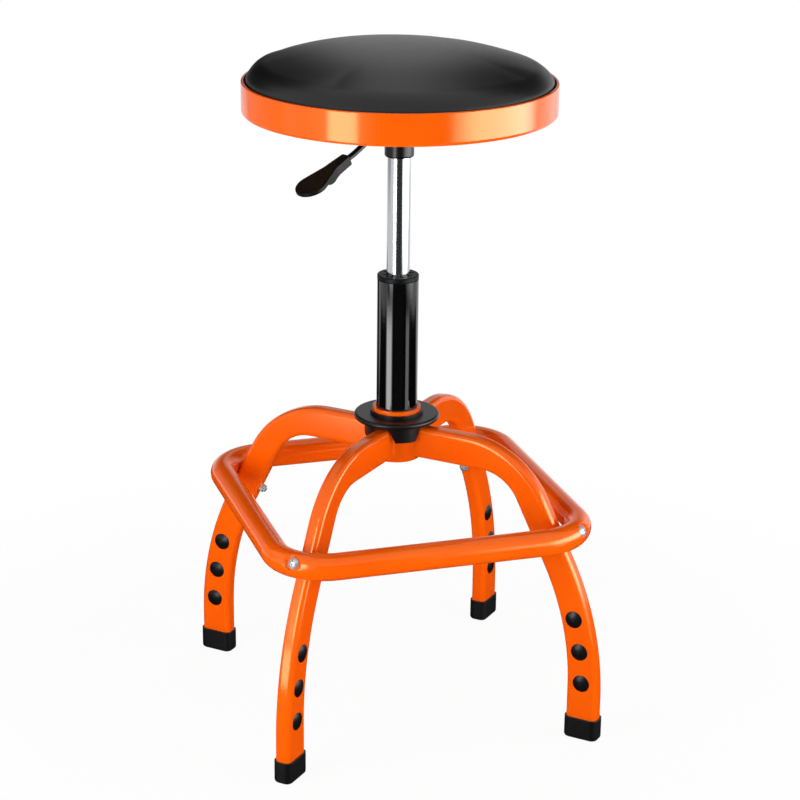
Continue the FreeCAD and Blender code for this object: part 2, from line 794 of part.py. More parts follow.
def valve_button():
    """Release button with a domed top."""
    return revolved([
        (0, button_top_z - BUTTON_LENGTH),
        (BUTTON_R, button_top_z - BUTTON_LENGTH),
        (BUTTON_R, button_top_z - BUTTON_DOME),
        (0, button_top_z, -dome_rise(BUTTON_R, BUTTON_DOME)),
    ])


def taper_socket():
    """Socket under the plate, with a taper bore and a window for the lever's tongue."""
    bore_top_r = cylinder_top_r + SOCKET_FIT
    socket = revolved([
        (CYLINDER_R + SOCKET_FIT, socket_bottom_z),
        (SOCKET_R - SOCKET_EDGE, socket_bottom_z),
        (SOCKET_R, socket_bottom_z + SOCKET_EDGE, -SOCKET_EDGE * (1 - math.cos(math.radians(45)))),
        (SOCKET_R, plate_bottom_z),
        (bore_top_r, plate_bottom_z),
        (bore_top_r, cylinder_top_z),
    ])
    roof = pivot_z + TONGUE_T / 2 + LEVER_STOP_GAP
    width = TONGUE_WIDTH + 2 * WINDOW_SIDE_GAP
    window = block(0, 2 * SOCKET_R, width, cylinder_top_z + WINDOW_SILL, roof)
    return turned(socket.cut(window), LEVER_AZIMUTH)


def on_screws(shape):
    """Copies of a shape built on the Z axis, one at each screw of the plate."""
    half = SCREW_SPACING / 2
    copies = []
    for x in (-half, half):
        for y in (-half, half):
            copy = shape.copy()
            copy.translate(Vector(x, y, 0))
            copies.append(turned(copy, LEVER_AZIMUTH))
    return group(copies)


def mount_plate():
    """Square steel plate that carries the socket and the lever bracket."""
    half = PLATE_SIDE / 2
    plate = block(-half, half, PLATE_SIDE, plate_bottom_z, board_bottom_z)
    upright = [edge for edge in plate.Edges if edge.BoundBox.ZLength > PLATE_T / 2]
    plate = turned(plate.makeFillet(PLATE_CORNER, upright), LEVER_AZIMUTH)
    return plate.cut(on_screws(cylinder(SCREW_R + SCREW_CLEARANCE, plate_bottom_z, board_bottom_z)))


def seat_screws():
    """Pan-head screws through the plate into the tee nuts."""
    head_z = plate_bottom_z - SCREW_HEAD_H
    rim_z = plate_bottom_z - SCREW_HEAD_H / 2
    return on_screws(revolved([
        (SCREW_HEAD_R, plate_bottom_z),
        (SCREW_R, plate_bottom_z),
        (SCREW_R, board_top_z - SCREW_SHORT),
        (0, board_top_z - SCREW_SHORT),
        (0, head_z),
        (SCREW_HEAD_R, rim_z, -dome_rise(SCREW_HEAD_R, rim_z - head_z)),
    ]))


def tee_nuts():
    """Flanged nuts let into the top of the seat board."""
    return on_screws(revolved([
        (SCREW_R + NUT_FIT, board_top_z - TEE_BARREL_LENGTH),
        (TEE_BARREL_R, board_top_z - TEE_BARREL_LENGTH),
        (TEE_BARREL_R, board_top_z - TEE_FLANGE_T),
        (TEE_FLANGE_R, board_top_z - TEE_FLANGE_T),
        (TEE_FLANGE_R, board_top_z),
        (SCREW_R + NUT_FIT, board_top_z),
    ]))


def seat_board():
    """Plywood disc with a rounded lower edge and stepped holes for the tee nuts."""
    board = cylinder(board_r, board_bottom_z, board_top_z)
    lower = [edge for edge in board.Edges if edge.BoundBox.ZMax < board_top_z - BOARD_EDGE]
    board = board.makeFillet(BOARD_EDGE, lower)
    barrel_hole = cylinder(TEE_BARREL_R + TEE_FIT, board_bottom_z, board_top_z)
    flange_hole = cylinder(TEE_FLANGE_R + TEE_FIT, board_top_z - TEE_FLANGE_T, board_top_z)
    return board.cut(on_screws(barrel_hole.fuse(flange_hole)))


def upholstery(inset):
    """Solid of the cushion and board together: crown, rolled edge, drawn-in side and wrapped lower edge."""
    dome = DOME_RADIUS - inset
    roll = ROLL_RADIUS - inset
    dome_z = crown_z - DOME_RADIUS
    roll_r = cushion_r - ROLL_RADIUS
    lean = math.degrees(math.acos(roll_r / (DOME_RADIUS - ROLL_RADIUS)))
    roll_centre = at(0, dome_z) + polar(DOME_RADIUS - ROLL_RADIUS, lean)
    roll_start = roll_centre + polar(roll, lean)
    roll_end = roll_centre + polar(roll, -TUCK_ANGLE)
    half_turn = math.radians(lean + TUCK_ANGLE) / 2
    side_r = board_r + COVER_T - inset
    bottom_z = board_bottom_z - COVER_T + inset
    edge = BOARD_EDGE + COVER_T - inset
    corner_rise = edge * (1 - math.cos(math.radians(45)))
    return revolved([
        (0, bottom_z),
        (side_r - edge, bottom_z),
        (side_r, bottom_z + edge, -corner_rise),
        (side_r, board_top_z + TUCK_FOOT),
        (roll_end.x, roll_end.z),
        (roll_start.x, roll_start.z, -roll * (1 - math.cos(half_turn))),
        (0, crown_z - inset, -dome * (1 - math.cos(math.radians(90 - lean) / 2))),
    ])


def seat_cover():
    """Vinyl cover over the foam, drawn down round the board and wrapped under its edge."""
    shell = upholstery(0).cut(upholstery(COVER_T))
    return shell.cut(cylinder(board_r - COVER_WRAP, RING_BOTTOM_Z, board_bottom_z))


def seat_foam():
    """Foam pad between the board and the cover."""
    return upholstery(COVER_T).cut(cylinder(RING_R, RING_BOTTOM_Z, board_top_z))


def seat_ring():
    """Pressed metal ring round the seat, turned in under the board, with a bead along its top."""
    inner_r = RING_R - RING_WALL
    lip_r = RING_R - RING_LIP
    inner_edge_r = RING_EDGE - RING_WALL
    lip_top = RING_BOTTOM_Z + RING_WALL
    flat_r = RING_R - RING_EDGE
    edge_z = RING_BOTTOM_Z + RING_EDGE
    bulge = 1 - math.cos(math.radians(45))
    return revolved([
        (lip_r, RING_BOTTOM_Z),
        (flat_r, RING_BOTTOM_Z),
        (RING_R, edge_z, -RING_EDGE * bulge),
        (RING_R, ring_top_z - RING_WALL),
        (RING_R - RING_WALL, ring_top_z, -RING_WALL * bulge),
        (bead_r, ring_top_z),
        (bead_r, ring_top_z - RING_WALL),
        (inner_r, ring_top_z - RING_WALL),
        (inner_r, edge_z),
        (flat_r, lip_top, inner_edge_r * bulge),
        (lip_r, lip_top),
    ])


def lever_bracket():
    """Two ears under the plate that hold the pivot pin."""
    width = 2 * (ear_gap + EAR_T)
    ear = block(PIVOT_R - EAR_R, PIVOT_R + EAR_R, width, pivot_z, plate_bottom_z)
    ear = ear.fuse(cross_rod(EAR_R, PIVOT_R, pivot_z, width / 2)).removeSplitter()
    gap_top = plate_bottom_z - EAR_BASE_T
    gap = block(PIVOT_R - EAR_R, PIVOT_R + EAR_R, 2 * ear_gap, pivot_z - EAR_R, gap_top)
    bracket = ear.cut(gap).cut(cross_rod(PIN_R + PIN_FIT, PIVOT_R, pivot_z, width))
    return turned(bracket, LEVER_AZIMUTH)


def pivot_pin():
    """Headed pin of the lever."""
    reach = ear_gap + EAR_T + PIN_HEAD_T
    pin = cross_rod(PIN_R, PIVOT_R, pivot_z, reach)
    start = Vector(PIVOT_R, -reach, pivot_z)
    head = Part.makeCylinder(PIN_HEAD_R, PIN_HEAD_T, start, Vector(0, 1, 0))
    return turned(pin.fuse(head), LEVER_AZIMUTH)


pivot_place = at(PIVOT_R, pivot_z)
rod_knee = pivot_place + polar(ROD_DROP_RUN, -ROD_DROP_ANGLE)
handle_place = rod_knee + polar(ROD_REACH, -HANDLE_ANGLE)


def lever_rod():
    """Tongue, barrel and bent rod of the release lever."""
    tangent = ROD_BEND_RADIUS * math.tan(math.radians(ROD_DROP_ANGLE - HANDLE_ANGLE) / 2)
    bend_start = rod_knee - polar(tangent, -ROD_DROP_ANGLE)
    bend_end = rod_knee + polar(tangent, -HANDLE_ANGLE)
    centre = bend_start + polar(ROD_BEND_RADIUS, 90 - ROD_DROP_ANGLE)
    middle_angle = -90 - (ROD_DROP_ANGLE + HANDLE_ANGLE) / 2
    middle = centre + polar(ROD_BEND_RADIUS, middle_angle)
    rod_end = handle_place + polar(ROD_INSERT, -HANDLE_ANGLE)
    path = Part.Wire([
        Part.makeLine(pivot_place, bend_start),
        Part.Arc(bend_start, middle, bend_end).toShape(),
        Part.makeLine(bend_end, rod_end),
    ])
    section = Part.Wire(Part.makeCircle(LEVER_ROD_R, pivot_place, polar(1, -ROD_DROP_ANGLE)))
    rod = path.makePipeShell([section], True, False)
    barrel = cross_rod(BARREL_R, PIVOT_R, pivot_z, BARREL_LENGTH / 2)
    half_t = TONGUE_T / 2
    tongue = block(-TONGUE_OVERHANG, PIVOT_R, TONGUE_WIDTH, pivot_z - half_t, pivot_z + half_t)
    lever = barrel.fuse(tongue).fuse(rod)
    bore = cross_rod(PIN_R + RUNNING_FIT, PIVOT_R, pivot_z, BARREL_LENGTH)
    return turned(lever.cut(bore), LEVER_AZIMUTH)


def handle_plan():
    """Handle's outline from above: a slightly tapered neck that flares into a round-ended blade."""
    centre = Vector(HANDLE_LENGTH - BLADE_HALF_WIDTH, 0, 0)
    neck = Vector(NECK_LENGTH, NECK_HALF_WIDTH, 0)
    to_neck = neck - centre
    swing = math.degrees(math.acos(BLADE_HALF_WIDTH / to_neck.Length))
    heading = math.degrees(math.atan2(to_neck.y, to_neck.x)) - swing
    touch_x = BLADE_HALF_WIDTH * math.cos(math.radians(heading))
    touch_y = BLADE_HALF_WIDTH * math.sin(math.radians(heading))
    touch = centre + Vector(touch_x, touch_y, 0)
    mirror = [Vector(point.x, -point.y, 0) for point in (touch, neck)]
    root = [Vector(0, -ROOT_HALF_WIDTH, 0), Vector(0, ROOT_HALF_WIDTH, 0)]
    return Part.Wire([
        Part.makeLine(root[0], root[1]),
        Part.makeLine(root[1], neck),
        Part.makeLine(neck, touch),
        Part.Arc(touch, centre + Vector(BLADE_HALF_WIDTH, 0, 0), mirror[0]).toShape(),
        Part.makeLine(mirror[0], mirror[1]),
        Part.makeLine(mirror[1], root[0]),
    ])


def lever_handle():
    """Moulded handle: neck on the rod, flat blade, and a rounded belly under the middle."""
    depth = 2 * BELLY_DROP
    plan = Part.Face(handle_plan())
    plan.translate(Vector(0, 0, -depth / 2))
    blade = plan.extrude(Vector(0, 0, depth))
    for x, radius in ((0, ROOT_CORNER), (NECK_LENGTH, NECK_FLARE_RADIUS)):
        upright = [edge for edge in blade.Edges if edge.BoundBox.ZLength > depth / 2]
        corners = [edge for edge in upright if abs(edge.CenterOfMass.x - x) < ROOT_CORNER / 2]
        blade = blade.makeFillet(radius, corners)
    side = slab([
        (0, -NECK_HALF_DEPTH),
        (BELLY_START, -NECK_HALF_DEPTH),
        (BELLY_END, -BELLY_DROP),
        (BELLY_END + BELLY_RUNOUT, BLADE_BOTTOM, -BELLY_BULGE),
        (HANDLE_LENGTH, BLADE_BOTTOM),
        (HANDLE_LENGTH, BLADE_TOP),
        (BELLY_START, NECK_HALF_DEPTH),
        (0, NECK_HALF_DEPTH),
    ], 2 * HANDLE_LENGTH)
    handle = blade.common(side)
    handle = handle.makeFillet(HANDLE_EDGE, handle.Edges)
    handle.rotate(ORIGIN, Vector(0, 1, 0), HANDLE_ANGLE)
    handle.translate(handle_place)
    socket = Part.makeCylinder(LEVER_ROD_R + HANDLE_FIT, ROD_INSERT, handle_place, polar(1, -HANDLE_ANGLE))
    return turned(handle.cut(socket), LEVER_AZIMUTH)


def nodes():
    """Every piece of the stool by its node's name."""
    pieces = {
        "hub_tube": hub_tube(),
        "hub_collar": hub_collar(),
        "footrest_ring": footrest_ring(),
        "footrest_bolts": group(on_legs(footrest_bolt()).values()),
        "footrest_nuts": group(on_legs(footrest_nut()).values()),
        "column_tube": column_tube(),
        "guide_bush": guide_bush(),
        "bearing_lower_race": bearing_race(disc_top_z),
        "bearing_balls": bearing_balls(),
        "bearing_cage": bearing_cage(),
        "bearing_upper_race": bearing_race(upper_race_z),
        "piston_rod": piston_rod(),
        "rod_clip": rod_clip(),
        "rubber_buffer": rubber_buffer(),
        "piston": piston(),
        "gas_cylinder": gas_cylinder(),
        "cylinder_guide": cylinder_guide(),
        "valve_body": valve_body(),
        "valve_button": valve_button(),
        "taper_socket": taper_socket(),
        "mount_plate": mount_plate(),
        "seat_screws": seat_screws(),
        "tee_nuts": tee_nuts(),
        "seat_board": seat_board(),
        "seat_foam": seat_foam(),
        "seat_cover": seat_cover(),
        "seat_ring": seat_ring(),
        "lever_bracket": lever_bracket(),
        "pivot_pin": pivot_pin(),
        "lever_rod": lever_rod(),
        "lever_handle": lever_handle(),
    }
    for prefix, shape in (("leg", leg()), ("leg_plugs", leg_plugs()), ("foot_cap", foot_cap())):
        for name, copy in on_legs(shape).items():
            pieces[prefix + "_" + name] = copy
    return pieces


os.makedirs("parts", exist_ok=True)
for node, shape in nodes().items():
    shape.exportStep("parts/" + node + ".step")
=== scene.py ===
"""Dresses a workshop stool, builds its padded seat and its welds, and sets a studio round it.

Lengths are metres in the stool's own frame. Small sizes are written in millimetres times MM.
"""

import json
import logging
import math
import random
from dataclasses import dataclass, replace
from enum import Enum

import bmesh
import bpy
from mathutils import Matrix, Quaternion, Vector


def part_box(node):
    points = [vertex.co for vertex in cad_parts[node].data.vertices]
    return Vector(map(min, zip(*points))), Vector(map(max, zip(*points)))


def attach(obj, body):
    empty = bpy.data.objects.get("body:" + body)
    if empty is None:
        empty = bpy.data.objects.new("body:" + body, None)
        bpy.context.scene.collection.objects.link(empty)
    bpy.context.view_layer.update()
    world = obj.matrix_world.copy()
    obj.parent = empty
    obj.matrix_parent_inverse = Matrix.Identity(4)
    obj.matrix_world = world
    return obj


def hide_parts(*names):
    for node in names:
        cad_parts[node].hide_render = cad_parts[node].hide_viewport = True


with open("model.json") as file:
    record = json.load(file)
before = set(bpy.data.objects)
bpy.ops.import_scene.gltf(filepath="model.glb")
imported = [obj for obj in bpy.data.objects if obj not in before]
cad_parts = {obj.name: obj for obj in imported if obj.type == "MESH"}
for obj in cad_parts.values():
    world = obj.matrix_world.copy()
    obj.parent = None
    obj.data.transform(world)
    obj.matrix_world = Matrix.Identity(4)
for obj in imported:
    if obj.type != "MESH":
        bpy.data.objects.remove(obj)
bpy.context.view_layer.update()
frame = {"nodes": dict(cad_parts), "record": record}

MM = 0.001
SHARP = math.radians(45)
LEG_NAMES = ("rear_right", "rear_left", "front_left", "front_right")
EDGE_SAMPLES = 4
# Height above the seat board at which the cushion meets its hem.
COVER_FOOT = 2.0 * MM
log = logging.getLogger("stool")

Colour = tuple[float, float, float, float]
Sizes = tuple[float, float, float]
Inputs = dict[str | int, object]
Tree = bpy.types.NodeTree
Socket = bpy.types.NodeSocket
Profile = list[tuple[float, float]]


class Slot(Enum):
    """Material slots of the stool's record."""

    ORANGE_ENAMEL = "orange_enamel"
    BLACK_ENAMEL = "black_enamel"
    BLACK_PLASTIC = "black_plastic"
    RUBBER = "rubber"
    CHROME = "chrome"
    ZINC_STEEL = "zinc_steel"
    BRIGHT_STEEL = "bright_steel"
    CAST_ALUMINIUM = "cast_aluminium"
    BRASS = "brass"
    NYLON = "nylon"
    PLYWOOD = "plywood"
    FOAM = "foam"
    VINYL = "vinyl"


class Body(Enum):
    """Bodies that pieces made here ride on."""

    BASE = "base"
    SEAT = "seat"


class Sight(Enum):
    """Surfaces that a studio card works on."""

    ALL = "matt and glossy surfaces"
    GLOSS = "reflections only"
    MATT = "matt surfaces only"


def linear(hex_colour: str) -> Colour:
    """Turns an sRGB hex colour into linear light.

    Args:
        hex_colour: Colour as "#rrggbb".

    Returns:
        Linear red, green, blue and an alpha of 1.
    """
    channels = []
    for i in (1, 3, 5):
        value = int(hex_colour[i:i + 2], 16) / 255
        channels.append(value / 12.92 if value <= 0.04045 else ((value + 0.055) / 1.055) ** 2.4)
    return (*channels, 1.0)


def per_metre(size_mm: float) -> float:
    """Scale of a pattern whose features are that many millimetres apart."""
    return 1000 / size_mm


def clamp(value: float) -> float:
    """Value kept between 0 and 1."""
    return min(max(value, 0.0), 1.0)


def add_node(tree: Tree, kind: str, inputs: Inputs | None = None, **settings: object) -> bpy.types.Node:
    """Adds a node to a tree, with its settings, and fills or links its inputs.

    Args:
        tree: Node tree of a material or of the world.
        kind: Blender's name of the node type.
        inputs: Value or output socket for each input, by name or number.
        **settings: Properties of the node.

    Returns:
        The new node.
    """
    node = tree.nodes.new(kind)
    for name, value in settings.items():
        setattr(node, name, value)
    for key, value in (inputs or {}).items():
        if isinstance(value, bpy.types.NodeSocket):
            tree.links.new(value, node.inputs[key])
        else:
            node.inputs[key].default_value = value
    return node


def streaks(tree: Tree, place: Socket, sizes_mm: Sizes, look: Inputs) -> Socket:
    """Draws noise out into streaks.

    Args:
        tree: Node tree of the material.
        place: Place on the surface, in metres.
        sizes_mm: Size of the streaks along X, Y and Z.
        look: Further inputs of the noise.

    Returns:
        The pattern from 0 to 1.
    """
    scale = Vector([per_metre(size) for size in sizes_mm])
    stretched = add_node(tree, "ShaderNodeVectorMath", {0: place, 1: scale}, operation="MULTIPLY")
    noise = {"Vector": stretched.outputs[0], "Scale": 1.0, **look}
    return add_node(tree, "ShaderNodeTexNoise", noise).outputs[0]


def empty_material(title: str) -> bpy.types.Material:
    """Makes a material with an empty node tree.

    Args:
        title: Name of the material.

    Returns:
        The new material.
    """
    material = bpy.data.materials.new(title)
    material.use_nodes = True
    material.node_tree.nodes.clear()
    return material


def mesh_object(name: str, points: list[Vector], faces: list[tuple[int, ...]]) -> bpy.types.Object:
    """Makes a mesh object with its faces turned outward, smooth but for its sharp edges.

    Args:
        name: Name of the piece.
        points: Vertices, in metres.
        faces: Vertex numbers of each face.

    Returns:
        The new object, linked to the scene.
    """
    mesh = bpy.data.meshes.new(name)
    mesh.from_pydata(points, [], faces)
    shape = bmesh.new()
    shape.from_mesh(mesh)
    bmesh.ops.recalc_face_normals(shape, faces=shape.faces)
    shape.to_mesh(mesh)
    shape.free()
    mesh.polygons.foreach_set("use_smooth", [True] * len(mesh.polygons))
    mesh.set_sharp_from_angle(angle=SHARP)
    made = bpy.data.objects.new(name, mesh)
    bpy.context.scene.collection.objects.link(made)
    return made


def sheet_object(name: str, width: float, height: float) -> bpy.types.Object:
    """Makes a flat sheet round its own middle.

    Args:
        name: Name of the sheet.
        width: Its size along X.
        height: Its size along Y.

    Returns:
        The new object, linked to the scene.
    """
    x = width / 2
    y = height / 2
    corners = [Vector((-x, -y, 0)), Vector((x, -y, 0)), Vector((x, y, 0)), Vector((-x, y, 0))]
    return mesh_object(name, corners, [(0, 1, 2, 3)])


def strip_faces(rows: int, columns: int, start: int = 0, closed: bool = True) -> list[tuple[int, ...]]:
    """Quads between neighbouring rows of vertices.

    Args:
        rows: Number of rows.
        columns: Vertices in each row.
        start: Number of the first vertex.
        closed: Whether each row runs round to its first vertex.

    Returns:
        Vertex numbers of the quads.
    """
    faces = []
    for row in range(rows - 1):
        for column in range(columns if closed else columns - 1):
            here = start + row * columns + column
            beside = start + row * columns + (column + 1) % columns
            faces.append((here, beside, beside + columns, here + columns))
    return faces


@dataclass(frozen=True)
class Finish:
    """A finish, from which one material is made.

    Attributes:
        title: What the material is and how its surface was made.
        colour: Main colour.
        second: Colour that it varies towards.
        roughness: Roughness of its smoothest and its dullest places.
        edge_mm: Radius that its edges are seen as rounded to.
    """

    title: str
    colour: str
    second: str
    roughness: tuple[float, float]
    edge_mm: float

    def constants(self) -> Inputs:
        """Shader inputs that are the same all over the surface."""
        return {}

    def height(self, tree: Tree, place: Socket) -> tuple[Socket, float]:
        """Relief of the surface.

        Args:
            tree: Node tree of the material.
            place: Place on the surface, in metres.

        Returns:
            The relief from 0 to 1, and its depth in millimetres.
        """
        raise NotImplementedError

    def tone(self, tree: Tree, place: Socket, height: Socket) -> Socket:
        """Where the surface takes its second colour and is dullest.

        Args:
            tree: Node tree of the material.
            place: Place on the surface, in metres.
            height: Relief of the surface.

        Returns:
            A pattern from 0 to 1.
        """
        # In moulded plastic and vinyl, the darker colour laid along the relief is painted shade.
        return height

    def material(self) -> bpy.types.Material:
        """Builds the material from its relief, its tones and its constants.

        Returns:
            The new material.
        """
        material = empty_material(self.title)
        tree = material.node_tree
        place = add_node(tree, "ShaderNodeTexCoord").outputs["Object"]
        height, depth_mm = self.height(tree, place)
        tone = self.tone(tree, place, height)
        paint = add_node(
            tree, "ShaderNodeMix",
            {0: tone, 6: linear(self.colour), 7: linear(self.second)},
            data_type="RGBA",
        )
        smooth, dull = self.roughness
        dullness = add_node(tree, "ShaderNodeMapRange", {0: tone, "To Min": smooth, "To Max": dull})
        edge = add_node(tree, "ShaderNodeBevel", {"Radius": self.edge_mm * MM}, samples=EDGE_SAMPLES)
        relief = add_node(
            tree, "ShaderNodeBump",
            {"Height": height, "Distance": depth_mm * MM, "Normal": edge.outputs[0]},
        )
        shader = add_node(tree, "ShaderNodeBsdfPrincipled", {
            "Base Color": paint.outputs[2],
            "Roughness": dullness.outputs[0],
            "Normal": relief.outputs[0],
            **self.constants(),
        })
        add_node(tree, "ShaderNodeOutputMaterial", {"Surface": shader.outputs[0]})
        return material


@dataclass(frozen=True)
class StovedEnamel(Finish):
    """Enamel sprayed on steel and baked.

    It flows out to a deep, even colour under a clear gloss. The faint orange peel of the spray bends
    reflections a little, and the coat thins and pales where it drew back from an edge.

    Attributes:
        gloss: Level of its reflections, where 0.5 is plain.
        gloss_tint: Tint that the pigment gives to reflections.
        clear_coat: Weight of the clear coat.
        peel_mm: Spacing of the orange peel, drawn coarse enough to show.
        peel_depth_mm: Depth of the orange peel.
        cloud_mm: Size of the slow changes of tone.
        cloud_range: Part of the clouds' noise over which the tone changes.
        cloud_share: How far the clouds take the second colour.
        edge_range: Cosines of the turn at an edge, where it starts to pale and where it is palest.
        edge_pallor: How far an edge takes the second colour.
    """

    gloss: float
    gloss_tint: str
    clear_coat: float
    peel_mm: float = 4.0
    peel_depth_mm: float = 0.012
    cloud_mm: float = 70.0
    cloud_range: tuple[float, float] = (0.35, 0.8)
    cloud_share: float = 0.35
    edge_range: tuple[float, float] = (0.98, 0.8)
    edge_pallor: float = 0.6

    def constants(self) -> Inputs:
        """Dielectric gloss with a clear coat.

        Returns:
            Values of the shader's inputs, by name.
        """
        return {
            "IOR": 1.5,
            "Specular IOR Level": self.gloss,
            "Specular Tint": linear(self.gloss_tint),
            "Coat Weight": self.clear_coat,
            "Coat Roughness": 0.06,
            "Coat IOR": 1.5,
        }

    def height(self, tree: Tree, place: Socket) -> tuple[Socket, float]:
        """Orange peel of the spray, and its depth in millimetres."""
        peel = {"Vector": place, "Scale": per_metre(self.peel_mm), "Detail": 1.0}
        return add_node(tree, "ShaderNodeTexNoise", peel).outputs[0], self.peel_depth_mm

    def tone(self, tree: Tree, place: Socket, height: Socket) -> Socket:
        """Slow clouds of tone, and pale edges.

        Args:
            tree: Node tree of the material.
            place: Place on the surface, in metres.
            height: Relief of the surface.

        Returns:
            A pattern from 0 to 1.
        """
        scale = per_metre(self.cloud_mm)
        cloud = add_node(tree, "ShaderNodeTexNoise", {"Vector": place, "Scale": scale, "Detail": 3.0})
        low, high = self.cloud_range
        slow = add_node(
            tree, "ShaderNodeMapRange",
            {0: cloud.outputs[0], "From Min": low, "From Max": high, "To Max": self.cloud_share},
        )
        edge = add_node(tree, "ShaderNodeBevel", {"Radius": self.edge_mm * MM}, samples=EDGE_SAMPLES)
        face = add_node(tree, "ShaderNodeNewGeometry")
        turn = add_node(
            tree, "ShaderNodeVectorMath",
            {0: edge.outputs[0], 1: face.outputs["Normal"]},
            operation="DOT_PRODUCT",
        )
        starts, palest = self.edge_range
        thin = add_node(
            tree, "ShaderNodeMapRange",
            {0: turn.outputs["Value"], "From Min": starts, "From Max": palest, "To Max": self.edge_pallor},
        )
        both = add_node(
            tree, "ShaderNodeMath", {0: slow.outputs[0], 1: thin.outputs[0]}, operation="MAXIMUM"
        )
        return both.outputs[0]


@dataclass(frozen=True)
class MouldedPolymer(Finish):
    """Plastic or rubber from a steel mould.

    The spark-eroded mould leaves a fine grain that breaks up the gloss and takes painted shade.

    Attributes:
        ior: Index of refraction.
        gloss: Level of its reflections, where 0.5 is plain.
        grain_mm: Spacing of the grain, drawn coarse enough to show.
        grain_depth_mm: Depth of the grain.
    """

    ior: float
    gloss: float = 0.5
    grain_mm: float = 1.6
    grain_depth_mm: float = 0.03

    def constants(self) -> Inputs:
        """Plain dielectric."""
        return {"IOR": self.ior, "Specular IOR Level": self.gloss}

    def height(self, tree: Tree, place: Socket) -> tuple[Socket, float]:
        """Spark-eroded grain, and its depth in millimetres."""
        grain = {"Vector": place, "Scale": per_metre(self.grain_mm), "Detail": 3.0, "Roughness": 0.6}
        return add_node(tree, "ShaderNodeTexNoise", grain).outputs[0], self.grain_depth_mm


@dataclass(frozen=True)
class BareMetal(Finish):
    """Plated, turned or ground metal.

    Fine marks run round or along the piece and stretch its highlights. The plate changes tone slowly.

    Attributes:
        marks_mm: Spacing of the marks along X, Y and Z, drawn coarse enough to show.
        marks_depth_mm: Depth of the marks.
        metallic: Share of bare metal, below 1 where a dull film covers it.
    """

    marks_mm: Sizes
    marks_depth_mm: float
    metallic: float = 1.0

    def constants(self) -> Inputs:
        """Metal, under its film if it has one."""
        return {"Metallic": self.metallic}

    def height(self, tree: Tree, place: Socket) -> tuple[Socket, float]:
        """Machining or polishing marks, and their depth in millimetres."""
        return streaks(tree, place, self.marks_mm, {"Detail": 2.0}), self.marks_depth_mm


@dataclass(frozen=True)
class SawnPlywood(Finish):
    """Birch plywood, sawn to a disc.

    Its faces show long grain in pale and darker streaks, and its edge shows the plies as stripes.

    Attributes:
        grain_mm: Spacing across the grain.
        grain_length_mm: Length of the streaks.
        ply_mm: Thickness of two plies.
        grain_depth_mm: Depth of the grain.
        streak_range: Part of the grain's noise over which it darkens.
    """

    grain_mm: float = 5.0
    grain_length_mm: float = 140.0
    ply_mm: float = 3.0
    grain_depth_mm: float = 0.06
    streak_range: tuple[float, float] = (0.35, 0.65)

    def constants(self) -> Inputs:
        """Bare wood."""
        return {"IOR": 1.5, "Specular IOR Level": 0.3}

    def height(self, tree: Tree, place: Socket) -> tuple[Socket, float]:
        """Wood grain, and its depth in millimetres."""
        sizes = (self.grain_length_mm, self.grain_mm, self.ply_mm)
        return streaks(tree, place, sizes, {"Detail": 6.0, "Distortion": 0.6}), self.grain_depth_mm

    def tone(self, tree: Tree, place: Socket, height: Socket) -> Socket:
        """Dark streaks of the grain."""
        dark = {0: height, "From Min": self.streak_range[0], "From Max": self.streak_range[1]}
        return add_node(tree, "ShaderNodeMapRange", dark).outputs[0]


@dataclass(frozen=True)
class EmbossedVinyl(Finish):
    """PVC leathercloth, calendered and embossed with a fine skin grain.

    The grain scatters the gloss into a broad satin sheen, and painted shade darkens its furrows.

    Attributes:
        cell_mm: Size of a grain cell, drawn coarse enough to show.
        furrow: Share of a cell over which it slopes down to its furrow.
        wrinkle: Share of the relief that is a finer wrinkle.
        wrinkles: Wrinkles across a cell.
        grain_depth_mm: Depth of the furrows.
    """

    cell_mm: float = 2.2
    furrow: float = 0.35
    wrinkle: float = 0.2
    wrinkles: float = 3.0
    grain_depth_mm: float = 0.035

    def constants(self) -> Inputs:
        """Soft dielectric."""
        return {"IOR": 1.48, "Specular IOR Level": 0.42}

    def height(self, tree: Tree, place: Socket) -> tuple[Socket, float]:
        """Skin grain: cells with furrows between them, and a finer wrinkle on top.

        Args:
            tree: Node tree of the material.
            place: Place on the surface, in metres.

        Returns:
            The relief from 0 to 1, and its depth in millimetres.
        """
        cells = add_node(
            tree, "ShaderNodeTexVoronoi",
            {"Vector": place, "Scale": per_metre(self.cell_mm), "Randomness": 0.9},
            feature="DISTANCE_TO_EDGE",
        )
        domes = add_node(
            tree, "ShaderNodeMapRange",
            {0: cells.outputs["Distance"], "From Max": self.furrow, "To Max": 1 - self.wrinkle},
        )
        scale = per_metre(self.cell_mm / self.wrinkles)
        wrinkle = add_node(tree, "ShaderNodeTexNoise", {"Vector": place, "Scale": scale, "Detail": 2.0})
        total = add_node(
            tree, "ShaderNodeMath",
            {0: wrinkle.outputs[0], 1: self.wrinkle, 2: domes.outputs[0]},
            operation="MULTIPLY_ADD",
        )
        return total.outputs[0], self.grain_depth_mm


